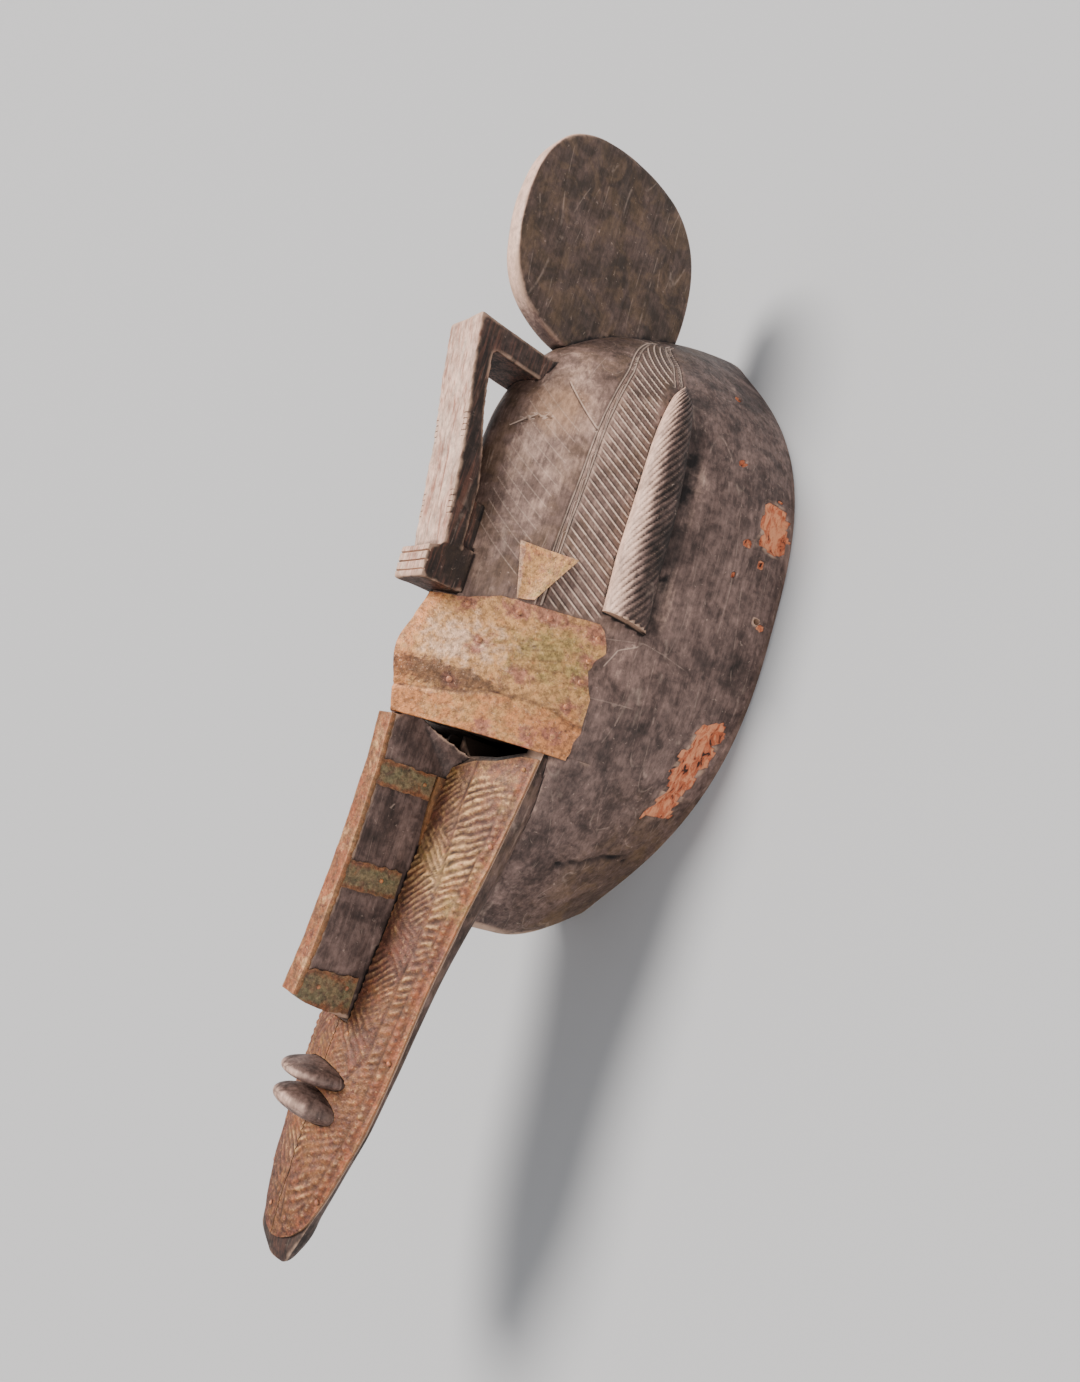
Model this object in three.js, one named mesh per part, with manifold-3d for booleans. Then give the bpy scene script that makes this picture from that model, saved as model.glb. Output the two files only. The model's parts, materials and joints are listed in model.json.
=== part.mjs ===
// A carved wooden mask with a deep helmet, a long tapering snout, a disc finial and a crest bar,
// partly covered with nailed brass and copper sheet.
// The mask lies on the rim of its helmet: +Z is the way the face looks, +Y runs to the crest
// and +X is the mask's own left. Lengths are in millimetres. Places along the mask, called s, grow
// from the tip of the snout to the disc.

import * as THREE from 'three';
import { mergeVertices } from 'three/addons/utils/BufferGeometryUtils.js';
import Module from 'manifold-3d';

const wasm = await Module();
wasm.setup();

// Driving dimensions
const TIP = 4;
const LENGTH = 602;
const HELMET = { chin: 191, top: 543, halfWidth: 90, fullness: 2.72, endRadius: 11, wall: 11, roofWall: 14 };
const CHIN = { belly: 20, bellyHeight: 52, fades: 290 };
const BROW = { edge: 268.5, lid: 266.6, hollowEdge: 272 };
const SNOUT = { root: 275, eyeLine: 253, edgeHeight: 96.5, edgeRise: 0.108, side: 1 };
const EYE = { inner: 5.6, flare: 16, outer: 47, low: 254.6, lowMiddle: 257, lowOuter: 262.5 };
const NOSE = { halfWidth: 4.9, foot: 115.5, tip: 124, root: 276, flareLow: 236, lean: 0.4 };
const LIPS = { halfWidth: 19.5, root: 122, reach: 25 };
const LIP_SHAPES = [{ s: 88.4, half: 5.8, tilt: -0.03 }, { s: 73, half: 7.4, tilt: -0.17 }];
const DISC = { radius: 65, thickness: 13, s: 543.2, height: 112, squareness: 2.2, turn: 47 };
const BAR = { halfWidth: 15.4, top: 466, bottom: 350, front: 181.5, arm: 14.5 };
const FOOT = { halfWidth: 13.5, low: 329, high: 346, front: 168, grooves: 3 };
const WEB = { halfWidth: 11, top: 380 };
const ROPE = { low: 338, high: 474, spread: 0.057, rise: 10.5, slant: 2.5, pitch: 9.5 };
const SHEET = { gap: 0.3, thickness: 0.9 };
const BANDS = [[226.5, 241, 119], [175, 190.5, 120.8], [117.5, 137, 126.2]];

// How finely the rounded forms are cut into faces
const HELMET_SPANS = 24;
const HELMET_STEPS = 12;
const SNOUT_STEPS = 5;
const SNOUT_BACK_STEPS = 8;

const along = (s) => s - TIP - LENGTH / 2;

// A smooth curve through pairs of place and size that never overshoots them
function profile(...pairs) {
  const steps = pairs.slice(1).map(([at, size], i) => (size - pairs[i][1]) / (at - pairs[i][0]));
  const slopes = pairs.map((_, i) => {
    if (i === 0) return steps[0];
    if (i === steps.length) return steps[i - 1];
    const turn = steps[i - 1] * steps[i];
    return turn <= 0 ? 0 : (2 * turn) / (steps[i - 1] + steps[i]);
  });
  return (at) => {
    const place = THREE.MathUtils.clamp(at, pairs[0][0], pairs[steps.length][0]);
    const i = Math.max(0, pairs.findLastIndex(([start], k) => k < steps.length && start <= place));
    const span = pairs[i + 1][0] - pairs[i][0];
    const t = (place - pairs[i][0]) / span;
    const rise = t * t * (3 - 2 * t);
    const ease = t * (1 - t) * span * ((1 - t) * slopes[i] - t * slopes[i + 1]);
    return pairs[i][1] * (1 - rise) + pairs[i + 1][1] * rise + ease;
  };
}

// Closed mesh over a row of rings that all have the same number of points
function loft(rings) {
  const count = rings[0].length;
  const points = rings.flat();
  const faces = [];
  for (let r = 0; r + 1 < rings.length; r += 1) {
    for (let k = 0; k < count; k += 1) {
      const next = (k + 1) % count;
      const near = [r * count + k, r * count + next];
      const far = [(r + 1) * count + k, (r + 1) * count + next];
      faces.push([near[0], near[1], far[1]], [near[0], far[1], far[0]]);
    }
  }
  for (const [ring, isFirst] of [[0, true], [rings.length - 1, false]]) {
    const middle = points.length;
    const centre = new THREE.Vector3();
    rings[ring].forEach((point) => centre.addScaledVector(point, 1 / count));
    points.push(centre);
    for (let k = 0; k < count; k += 1) {
      const [a, b] = [ring * count + k, ring * count + ((k + 1) % count)];
      faces.push(isFirst ? [b, a, middle] : [a, b, middle]);
    }
  }
  const geometry = new THREE.BufferGeometry();
  const coordinates = points.flatMap((point) => point.toArray());
  geometry.setAttribute('position', new THREE.Float32BufferAttribute(coordinates, 3));
  geometry.setIndex(faces.flat());
  return geometry;
}

// A closed geometry as a solid that can be joined and cut, and back again
function solid(geometry) {
  const bare = geometry.clone();
  bare.deleteAttribute('normal');
  bare.deleteAttribute('uv');
  const merged = mergeVertices(bare, 1e-4);
  return new wasm.Manifold(new wasm.Mesh({
    numProp: 3,
    vertProperties: new Float32Array(merged.attributes.position.array),
    triVerts: new Uint32Array(merged.index.array),
  }));
}

function facets(manifold) {
  const mesh = manifold.getMesh();
  const indexed = new THREE.BufferGeometry();
  indexed.setAttribute('position', new THREE.Float32BufferAttribute(mesh.vertProperties, 3));
  indexed.setIndex(Array.from(mesh.triVerts));
  const geometry = indexed.toNonIndexed();
  geometry.computeVertexNormals();
  return geometry;
}

// A flat outline of (s, height) pairs, thickened evenly to both sides of the mask's middle
function plate(pairs, halfWidth) {
  const shape = new THREE.Shape(pairs.map(([s, z]) => new THREE.Vector2(along(s), z)));
  const geometry = new THREE.ExtrudeGeometry(shape, { depth: 2 * halfWidth, bevelEnabled: false });
  geometry.translate(0, 0, -halfWidth);
  const standUp = new THREE.Matrix4().set(0, 0, 1, 0, 1, 0, 0, 0, 0, 1, 0, 0, 0, 0, 0, 1);
  return solid(geometry.applyMatrix4(standUp));
}

// An upright prism over an outline of (x, s) pairs
function prism(pairs, low, high) {
  const shape = new THREE.Shape(pairs.map(([x, s]) => new THREE.Vector2(x, along(s))));
  const geometry = new THREE.ExtrudeGeometry(shape, { depth: high - low, bevelEnabled: false });
  return solid(geometry.translate(0, 0, low));
}

function block(halfWidth, [lowS, highS], [lowZ, highZ]) {
  return plate([[lowS, lowZ], [highS, lowZ], [highS, highZ], [lowS, highZ]], halfWidth);
}

const mirrored = (pairs) => pairs.map(([x, s]) => [-x, s]).reverse();
const unite = (solids) => solids.reduce((whole, next) => whole.add(next));

// Helmet: the rim's half width, the height of the ridge, and the two handles of the cubic curve
// that runs from the rim up to the ridge, as shares of that width and height
const helmetMiddle = (HELMET.chin + HELMET.top) / 2;
const helmetHalfLength = (HELMET.top - HELMET.chin) / 2;
function rimHalfWidth(s, inset) {
  const u = Math.min(Math.abs((s - helmetMiddle) / (helmetHalfLength - inset)), 1);
  const toEnd = (helmetHalfLength - inset) * (1 - u);
  const bluntness = Math.sqrt(2 * HELMET.endRadius * toEnd) * Math.exp(-toEnd / (1.4 * HELMET.endRadius));
  return Math.hypot((HELMET.halfWidth - inset) * (1 - u ** HELMET.fullness), bluntness);
}
const foreheadHeight = profile([268, 151.5], [276, 154], [296, 160], [313, 155], [329, 150.5], [363, 149],
  [413, 149], [430, 147.5], [449, 142.8], [476, 129], [502, 100], [521, 65], [533, 36], [543, 4]);
const cheekHeight = profile([191, 90], [213, 95], [268, 101]);
const wallOut = profile([268, 1.07], [333, 0.98], [476, 1], [543, 1]);
const wallUp = profile([268, 0.65], [333, 0.47], [413, 0.46], [521, 0.55]);
const ridgeOut = profile([268, 0.55], [333, 0.29], [413, 0.36], [449, 0.42], [521, 0.5]);
const ridgeUp = profile([268, 0.8], [333, 0.93], [413, 0.975], [449, 1], [476, 1], [521, 0.97]);
const CHEEK_SHARES = [1, 0.9, 0.92, 1];

// The chin wall leans out below the face: how far a point at this place and height moves
function chinLean(s, z) {
  const fade = THREE.MathUtils.smoothstep(CHIN.fades - s, 0, CHIN.fades - HELMET.chin);
  return CHIN.belly * fade * Math.sin(Math.min(z / CHIN.bellyHeight, 1) * (Math.PI / 2));
}

// A point of the helmet: across runs from -1 at the right rim over 0 at the ridge to 1
function helmetPoint(s, across, inset = 0, roofInset = 0) {
  const isForehead = s >= BROW.edge;
  const shares = [wallOut, wallUp, ridgeOut, ridgeUp].map((share) => share(s));
  const [outWall, upWall, outRidge, upRidge] = isForehead ? shares : CHEEK_SHARES;
  const top = (isForehead ? foreheadHeight(s) : cheekHeight(s)) - roofInset;
  const half = rimHalfWidth(s, inset);
  const t = 1 - Math.abs(across);
  const [rim, wall, roof, ridge] = [(1 - t) ** 3, 3 * t * (1 - t) ** 2, 3 * t * t * (1 - t), t ** 3];
  const x = half * (rim + outWall * wall + outRidge * roof);
  const z = top * (upWall * wall + upRidge * roof + ridge);
  return new THREE.Vector3(Math.sign(across) * x, along(s) - chinLean(s, z), z);
}

// The way out from the forehead's surface
function helmetNormal(s, across) {
  const [ds, da] = [0.5, 0.02];
  const back = Math.max(s - ds, BROW.edge);
  const lengthways = helmetPoint(s + ds, across).sub(helmetPoint(back, across));
  const crossways = helmetPoint(s, Math.min(across + da, 1)).sub(helmetPoint(s, Math.max(across - da, -1)));
  return lengthways.cross(crossways).negate().normalize();
}

function helmetStations(inset) {
  const reach = helmetHalfLength - inset - 0.6;
  const places = [];
  for (let k = 0; k <= HELMET_SPANS; k += 1) {
    places.push(helmetMiddle - reach * Math.cos((Math.PI * k) / HELMET_SPANS));
  }
  return places;
}

const steps = Array.from({ length: 2 * HELMET_STEPS + 1 }, (_, k) => (k - HELMET_STEPS) / HELMET_STEPS);
const foreheadStations = [BROW.edge, ...helmetStations(0).filter((s) => s > BROW.edge + 2)];
const cheekStations = helmetStations(0).filter((s) => s < BROW.edge - 2);

function helmetOutside() {
  const places = [...cheekStations, BROW.edge - 0.01, ...foreheadStations];
  return solid(loft(places.map((s) => steps.map((across) => helmetPoint(s, across)))));
}

// The hollow follows the outside, with its step behind the brow a little further up
function helmetHollow() {
  const places = helmetStations(HELMET.wall);
  const step = places.findIndex((s) => s > BROW.edge);
  places.splice(step, 0, BROW.edge - 0.01, BROW.edge);
  const rings = places.map((s) => {
    const ring = steps.map((across) => helmetPoint(s, across, HELMET.wall, HELMET.roofWall));
    if (s >= BROW.edge) ring.forEach((point) => point.setY(Math.max(point.y, along(BROW.hollowEdge))));
    return [ring[0].clone().setZ(-5), ...ring, ring[ring.length - 1].clone().setZ(-5)];
  });
  return solid(loft(rings));
}

// The forehead's surface pushed out evenly, for what lies on it
function foreheadSkin(offset, overhang = 0) {
  const rings = foreheadStations.map((s) => steps.map((across) => (
    helmetPoint(s, across).addScaledVector(helmetNormal(s, across), offset))));
  if (overhang > 0) {
    rings.unshift(rings[0].map((point) => point.clone().setY(point.y - overhang)));
  }
  return solid(loft(rings));
}

// Snout: a crowned board with short straight sides and a rounded back
const snoutHalfWidth = profile([4, 7.5], [6, 11.5], [10, 15.5], [17, 18.8], [28, 22.5], [40, 27.5],
  [55, 32], [75, 37], [103, 39.5], [133, 40.5], [175, 45], [200, 49], [235, 53], [275, 56]);
const snoutMiddle = profile([4, 122], [14, 125], [40, 126], [88, 126], [118, 124], [173, 119],
  [213, 115], [248, 112], [275, 110]);
const snoutDepth = profile([4, 3], [8, 8], [13, 12], [20, 13.5], [30, 11.5], [42, 9.5], [60, 9],
  [110, 13], [150, 17], [200, 25], [275, 30]);
function snoutEdge(s) {
  return Math.min(SNOUT.edgeHeight + SNOUT.edgeRise * (SNOUT.eyeLine - s), snoutMiddle(s) - 2);
}
function snoutTop(x, s) {
  const u = Math.min(Math.abs(x) / snoutHalfWidth(s), 1);
  return snoutMiddle(s) - (snoutMiddle(s) - snoutEdge(s)) * u ** 1.8;
}
const snoutPlaces = [4.2, 5.2, 7.5, 12, 19, 29, 42, 60, 80, 105, 140, 175, 210, 240, SNOUT.root];
function snoutRing(s, offset) {
  const [half, edge, depth] = [snoutHalfWidth(s), snoutEdge(s), snoutDepth(s)];
  const ring = [];
  for (let k = -SNOUT_STEPS; k <= SNOUT_STEPS; k += 1) {
    const x = (half * k) / SNOUT_STEPS;
    ring.push(new THREE.Vector3(x, along(s), snoutTop(x, s) + offset));
  }
  for (let k = 0; k <= SNOUT_BACK_STEPS; k += 1) {
    const turn = (Math.PI * k) / SNOUT_BACK_STEPS;
    const z = edge - SNOUT.side - (depth - SNOUT.side) * Math.sin(turn);
    ring.push(new THREE.Vector3(half * 0.98 * Math.cos(turn), along(s), z));
  }
  return ring;
}
const snoutSolid = (offset = 0) => solid(loft(snoutPlaces.map((s) => snoutRing(s, offset))));

// Eye slits under the brow, open to the hollow
const eyeOutline = [[EYE.inner, BROW.lid - 2], [EYE.flare, EYE.low], [33, EYE.lowMiddle],
  [EYE.outer, EYE.lowOuter], [EYE.outer, BROW.lid], [EYE.inner, BROW.lid]];
const eyeCuts = () => [prism(eyeOutline, 60, 118), prism(mirrored(eyeOutline), 60, 118)];

// The root of the nose is cut away behind a leaning edge, so the two slits meet behind it
function rootCut() {
  return plate([[249, 80], [EYE.low, 110], [265.4, 137], [277, 137], [277, 80]], EYE.inner + 0.4);
}

// Nose: a tall thin blade, its outline pushed out evenly where offset is given
function nose(offset, halfWidth) {
  const front = [[NOSE.root, 145.5], [263.6, 147], [262.6, 152.5], [239, 151], [195, 151],
    [150, 153], [NOSE.tip, 155.5]];
  const foot = NOSE.foot - offset;
  return plate([[NOSE.root, 100], ...front.map(([s, z]) => [s, z + offset]),
    [NOSE.tip - 3, 150 + offset], [foot + 1.5, 133], [foot, 124], [foot, 112]], halfWidth);
}

// The root of the nose widens towards the board, up to the edge of the eye slits
function noseFlare(grow = 0) {
  const rings = [[NOSE.flareLow, 5, 118], [246, 8.5, 124], [EYE.low - 0.4, EYE.flare + 1, 138]];
  return solid(loft(rings.map(([start, half, high]) => {
    const [low, slim] = [half + grow, NOSE.halfWidth - 1 + grow];
    const section = [[-low, 96], [-low, 110], [-slim, high], [slim, high], [low, 110], [low, 96]];
    return section.map(([x, z]) => new THREE.Vector3(x, along(start + grow + NOSE.lean * (z - 110)), z));
  })));
}

// Lips: two flattened half rounds that spread apart towards their tips
function lips(grow = 0) {
  return LIP_SHAPES.map(({ s, half, tilt }) => {
    const geometry = new THREE.SphereGeometry(1, 18, 10);
    geometry.rotateX(Math.PI / 2);
    geometry.scale(LIPS.halfWidth + grow, half + grow, LIPS.reach + grow);
    geometry.rotateX(tilt);
    const above = block(40, [s - 20, s + 20], [LIPS.root - 10, LIPS.root + 40]);
    return solid(geometry.translate(0, along(s), LIPS.root)).intersect(above);
  });
}

// Disc finial: a flat, slightly squared disc that stands in line with the nose
function disc() {
  const outline = [];
  for (let k = 0; k < 44; k += 1) {
    const turn = (2 * Math.PI * k) / 44;
    const corner = Math.cos(4 * (turn - THREE.MathUtils.degToRad(DISC.turn)));
    const radius = DISC.radius + DISC.squareness * corner;
    outline.push([DISC.s + radius * Math.cos(turn), DISC.height + radius * Math.sin(turn)]);
  }
  const grow = (pairs, factor) => pairs.map(([s, z]) => [
    DISC.s + (s - DISC.s) * factor, DISC.height + (z - DISC.height) * factor]);
  const half = DISC.thickness / 2;
  const rings = [[-half, 0.97], [-half + 2, 1], [half - 2, 1], [half, 0.97]].map(([x, factor]) => (
    grow(outline, factor).map(([s, z]) => new THREE.Vector3(x, along(s), z))));
  return solid(loft(rings));
}

// Crest bar: an arm that leaves the dome, a strap that runs down before the forehead, a thinner
// web that ties it to the forehead and a grooved foot
function crestBar() {
  const armFoot = 118;
  const strap = plate([[BAR.top, armFoot], [BAR.top, BAR.front], [437, 177], [418, 172.5],
    [396, 168.5], [BAR.bottom, 162], [BAR.bottom, 150], [384, 152], [398, 155.5], [418, 162], [437, 166.5],
    [BAR.top - BAR.arm, 169], [BAR.top - BAR.arm, armFoot]], BAR.halfWidth);
  const web = plate([[FOOT.low, 140], [FOOT.low, 152], [BAR.bottom, 158], [WEB.top, 156],
    [WEB.top - 3, 149], [WEB.top - 2, 138]], WEB.halfWidth);
  const foot = plate([[FOOT.low + 1, 142], [FOOT.low, FOOT.front - 0.5], [FOOT.high, FOOT.front],
    [FOOT.high + 2, 159], [FOOT.high + 6, 152], [FOOT.high + 6, 142]], FOOT.halfWidth);
  const cuts = [];
  for (let k = 0; k < FOOT.grooves; k += 1) {
    const s = FOOT.low + ((k + 0.75) * (FOOT.high - FOOT.low)) / (FOOT.grooves + 0.5);
    cuts.push(plate([[s - 1.1, FOOT.front + 1], [s, FOOT.front - 1.6], [s + 1.1, FOOT.front + 1]],
      FOOT.halfWidth + 1));
  }
  return { solids: [strap, web, foot], cuts: [...cuts, ...barNotches()] };
}

// Small notches on the strap's two front edges, in two groups
function barNotches() {
  const places = [[367, 164.3], [371, 165], [375, 165.6], [406, 170.4], [410, 171.1], [414, 171.8]];
  const notches = [];
  for (const [s, front] of places) {
    for (const side of [-1, 1]) {
      const cut = block(2.4, [s - 0.7, s + 0.7], [front - 1.2, front + 4]);
      notches.push(cut.translate([side * (BAR.halfWidth + 0.5), 0, 0]));
    }
  }
  return notches;
}

// Rope ridges: twisted half rounds on the line where the forehead turns into the side wall
const ropeAcross = profile([ROPE.low, 0.606], [376, 0.596], [424, 0.598], [ROPE.high, 0.61]);
const ropeGrowth = profile([ROPE.low, 1], [390, 0.95], [435, 0.8], [462, 0.55], [ROPE.high, 0.08]);
function rope(side) {
  const rings = [];
  const count = Math.round((ROPE.high - ROPE.low) / (ROPE.pitch / 2));
  const around = 8;
  for (let k = 0; k <= count; k += 1) {
    const middle = ROPE.low + ((ROPE.high - ROPE.low) * k) / count;
    const growth = ropeGrowth(middle);
    const ring = [];
    for (let i = 0; i <= around; i += 1) {
      const turn = (Math.PI * i) / around;
      const s = middle + ROPE.slant * Math.cos(turn);
      const across = side * (ropeAcross(s) - ROPE.spread * growth * Math.cos(turn));
      const groove = 0.5 + 0.5 * Math.cos(2 * Math.PI * ((middle - ROPE.low) / ROPE.pitch + i / around));
      const rise = ROPE.rise * growth * Math.sin(turn) * (1 - 0.2 * groove);
      ring.push(helmetPoint(s, across).addScaledVector(helmetNormal(s, across), rise));
    }
    const sunk = side * ropeAcross(middle);
    ring.push(helmetPoint(middle, sunk).addScaledVector(helmetNormal(middle, sunk), -5));
    rings.push(side > 0 ? ring : ring.reverse());
  }
  return solid(loft(rings));
}

function carvedBody() {
  const { solids, cuts } = crestBar();
  const hollow = helmetHollow();
  const helmet = unite([helmetOutside(), snoutSolid()]).subtract(hollow);
  const opened = eyeCuts().reduce((whole, cut) => whole.subtract(cut), helmet);
  const bridge = nose(0, NOSE.halfWidth).add(noseFlare());
  const face = opened.add(bridge).subtract(rootCut());
  const crest = unite([disc(), ...solids]).subtract(hollow);
  const joined = unite([face, ...lips(), crest, rope(-1), rope(1)]);
  return cuts.reduce((whole, cut) => whole.subtract(cut), joined);
}

// Sheet metal, nailed on: every piece keeps a hair's gap to what it covers
const inner = SHEET.gap;
const outer = SHEET.gap + SHEET.thickness;
const browSides = [[BROW.edge, 0.61], [279, 0.623], [295.5, 0.615], [308.5, 0.576],
  [320, 0.599], [335, 0.56]];
const browTop = [[0, 327], [15, 328.3], [29, 333.5], [80, 334.5]];

// Everything within the brow sheet's two long sides, square to the forehead's surface
function betweenBrowSides() {
  const rings = browSides.map(([s, across]) => {
    const side = (sign) => [-12, 12].map((depth) => (
      helmetPoint(s, sign * across).addScaledVector(helmetNormal(s, sign * across), depth)));
    const [above, under] = [190, 40].map((height) => new THREE.Vector3(0, along(s), height));
    return [...side(-1), above, ...side(1).reverse(), under];
  });
  rings.unshift(rings[0].map((point) => point.clone().setY(point.y - 6)));
  return solid(loft(rings));
}

function browSheet() {
  const below = [[80, BROW.edge - 6], [0, BROW.edge - 6]];
  const end = prism([...browTop.slice(1).reverse().map(([x, s]) => [-x, s]), ...browTop, ...below,
    [-80, BROW.edge - 6]].reverse(), 40, 190);
  const skin = foreheadSkin(outer, 2).subtract(foreheadSkin(inner, 3));
  return skin.intersect(betweenBrowSides()).intersect(end);
}

function foreheadPlate() {
  const outline = [[33.5, 334.5], [29.5, 363.5], [49.5, 360.5], [39.5, 335.3]];
  return foreheadSkin(outer).subtract(foreheadSkin(inner)).intersect(prism(outline, 60, 190));
}

// One cheek sheet, from under the eye to the tip, let in round the lips and turned up against the
// root of the nose
function cheekSheet(side) {
  const seam = 0.35;
  const beside = NOSE.halfWidth + 1.9;
  const edge = [254, 236, 200, 175, 133, 103, 75, 55, 40, 28].map((s) => [snoutHalfWidth(s) - 0.3, s]);
  const outline = [[beside, 246], [12, 248.6], [21.5, 252.6], [34, 255], [46, 260], [53.5, 260.5], ...edge,
    [19.6, 23.5], [14.5, 18.6], [7.5, 14.8], [seam, 13.6], [seam, NOSE.foot - 1.4],
    [beside, NOSE.foot - 1.4]];
  const sided = (pairs) => (side > 0 ? pairs : mirrored(pairs));
  const skin = snoutSolid(outer).subtract(snoutSolid(inner)).intersect(prism(sided(outline), 60, 190));
  const flange = plate([[240, 111], [205, 114.5], [205, 116.5], [228, 118.4], [240, 118]], 20);
  const upright = prism(sided([[NOSE.halfWidth + inner, 200], [beside + 0.1, 200], [beside + 0.1, 250],
    [NOSE.halfWidth + inner, 250]]), 60, 190);
  const turnedUp = flange.subtract(snoutSolid(inner)).intersect(upright);
  return [noseFlare(inner), ...lips(inner)].reduce((whole, cut) => whole.subtract(cut), skin.add(turnedUp));
}

function noseBand([low, high, clear]) {
  const around = nose(outer, NOSE.halfWidth + outer).subtract(nose(inner, NOSE.halfWidth + inner));
  return around.intersect(block(20, [low, high], [clear, 170]));
}

function noseStrip() {
  const over = outer + inner;
  const bridge = nose(over + SHEET.thickness, NOSE.halfWidth + 0.7).subtract(nose(over, 20));
  return bridge.intersect(block(20, [NOSE.tip - 1, 262.5], [148, 170]));
}

// Every piece under its own name, with its colour
const WOOD = { color: 0x4b4038, roughness: 0.55, metalness: 0 };
const BRASS = { color: 0xa98a55, roughness: 0.45, metalness: 0.8 };
const OLD_BRASS = { color: 0x6b6440, roughness: 0.5, metalness: 0.7 };
const COPPER = { color: 0xa87250, roughness: 0.5, metalness: 0.8 };

const mask = new THREE.Group();
function place(name, shape, finish) {
  const mesh = new THREE.Mesh(facets(shape), new THREE.MeshStandardMaterial(finish));
  mesh.name = name;
  mask.add(mesh);
}
place('carved_body', carvedBody(), WOOD);
place('brow_sheet', browSheet(), BRASS);
place('forehead_plate', foreheadPlate(), BRASS);
place('cheek_sheet_left', cheekSheet(1), COPPER);
place('cheek_sheet_right', cheekSheet(-1), COPPER);
BANDS.forEach((span, k) => place(`nose_band_${k + 1}`, noseBand(span), OLD_BRASS));
place('nose_ridge_strip', noseStrip(), COPPER);

export default mask;
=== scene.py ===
"""A carved wooden mask with nailed sheet metal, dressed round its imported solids.

Lengths are in millimetres until a mesh is made. A place along the mask, called s, grows from the tip
of the snout to the disc, x towards the mask's own left and z the way the face looks. MIDDLE is the
frame's origin as a place along the mask. BAND_SPANS has each nose band's lowest and highest s and the
height its ends reach down to. EDGE_ROUNDS is how often the finding of worn edges spreads to the points
next to them, and CLOSEST_SPACING is the spacing of points below which a bend doesn't count.
"""

import json
import logging
import math
from collections.abc import Callable, Sequence
from dataclasses import dataclass, field
from enum import Enum
from functools import reduce

import bpy
import numpy as np
from mathutils import Euler, Matrix, Vector
from mathutils.kdtree import KDTree

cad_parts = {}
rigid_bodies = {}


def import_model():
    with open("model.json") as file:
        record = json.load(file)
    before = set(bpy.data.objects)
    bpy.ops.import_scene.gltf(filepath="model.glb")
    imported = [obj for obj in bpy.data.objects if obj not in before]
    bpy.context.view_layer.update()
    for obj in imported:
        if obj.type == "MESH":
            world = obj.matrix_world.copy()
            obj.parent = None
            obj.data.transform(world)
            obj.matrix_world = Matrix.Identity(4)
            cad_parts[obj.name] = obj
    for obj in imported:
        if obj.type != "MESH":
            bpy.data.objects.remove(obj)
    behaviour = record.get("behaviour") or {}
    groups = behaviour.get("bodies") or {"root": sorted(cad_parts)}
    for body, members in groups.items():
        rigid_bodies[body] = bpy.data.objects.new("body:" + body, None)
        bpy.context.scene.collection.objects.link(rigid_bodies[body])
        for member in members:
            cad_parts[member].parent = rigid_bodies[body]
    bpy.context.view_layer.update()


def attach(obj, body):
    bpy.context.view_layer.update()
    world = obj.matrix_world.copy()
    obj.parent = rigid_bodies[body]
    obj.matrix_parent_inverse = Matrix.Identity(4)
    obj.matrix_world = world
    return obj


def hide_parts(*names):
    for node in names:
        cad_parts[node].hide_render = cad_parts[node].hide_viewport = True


LOG = logging.getLogger("mask")
MIDDLE = 305.0
MM = 0.001
BAND_SPANS = ((226.5, 241.0, 119.0), (175.0, 190.5, 120.8), (117.5, 137.0, 126.2))
EDGE_ROUNDS = 2
CLOSEST_SPACING = 0.35
Array = np.ndarray
Masks = dict[str, Array]
Piece = bpy.types.Object
Mesh = bpy.types.Mesh
Wire = bpy.types.NodeSocket
Pairs = Sequence[tuple[float, float]]
Triple = tuple[float, float, float]
Triples = Sequence[Triple]
Colour = tuple[float, float, float, float]


class Join(Enum):
    """How one solid meets another."""

    UNION = "UNION"
    CUT = "DIFFERENCE"


class Profile:
    """A smooth curve through pairs of place and size that never overshoots them."""

    def __init__(self, *pairs: tuple[float, float]) -> None:
        """Keeps the pairs and works out the slope at each.

        Args:
            pairs: Place and size, in rising order of place.
        """
        self.place = np.array([p[0] for p in pairs], float)
        self.size = np.array([p[1] for p in pairs], float)
        steps = np.diff(self.size) / np.diff(self.place)
        turn = steps[:-1] * steps[1:]
        total = np.where(turn > 0, steps[:-1] + steps[1:], 1.0)
        middle = np.where(turn > 0, 2 * turn / total, 0.0)
        self.slope = np.concatenate([steps[:1], middle, steps[-1:]])

    def __call__(self, at: Array | float) -> Array:
        """Returns the size at each place.

        Args:
            at: The places.

        Returns:
            The sizes, held at those of the two ends beyond them.
        """
        at = np.clip(at, self.place[0], self.place[-1])
        i = np.clip(np.searchsorted(self.place, at, side="right") - 1, 0, len(self.place) - 2)
        span = self.place[i + 1] - self.place[i]
        t = (at - self.place[i]) / span
        rise = t * t * (3 - 2 * t)
        ease = t * (1 - t) * span * ((1 - t) * self.slope[i] - t * self.slope[i + 1])
        return self.size[i] * (1 - rise) + self.size[i + 1] * rise + ease


def smooth(value: Array | float, low: float, high: float) -> Array:
    """Returns 0 below low, 1 above high and an even ease between them."""
    t = np.clip((np.asarray(value, float) - low) / (high - low), 0, 1)
    return t * t * (3 - 2 * t)


def between(value: Array, start: float, full: float, fading: float, end: float) -> Array:
    """Returns 1 from full to fading and 0 beyond start and end, with an even ease at both."""
    return smooth(value, start, full) * (1 - smooth(value, fading, end))


def bell(value: Array, middle: float, width: float) -> Array:
    """Returns 1 at the middle, which falls off to both sides over the width."""
    return np.exp(-((value - middle) / width) ** 2)


def read(pairs: Pairs, at: Array | float) -> Array:
    """Returns what pairs of place and value give at each place, with straight runs between them."""
    return np.interp(at, *np.array(pairs, float).T)


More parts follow.
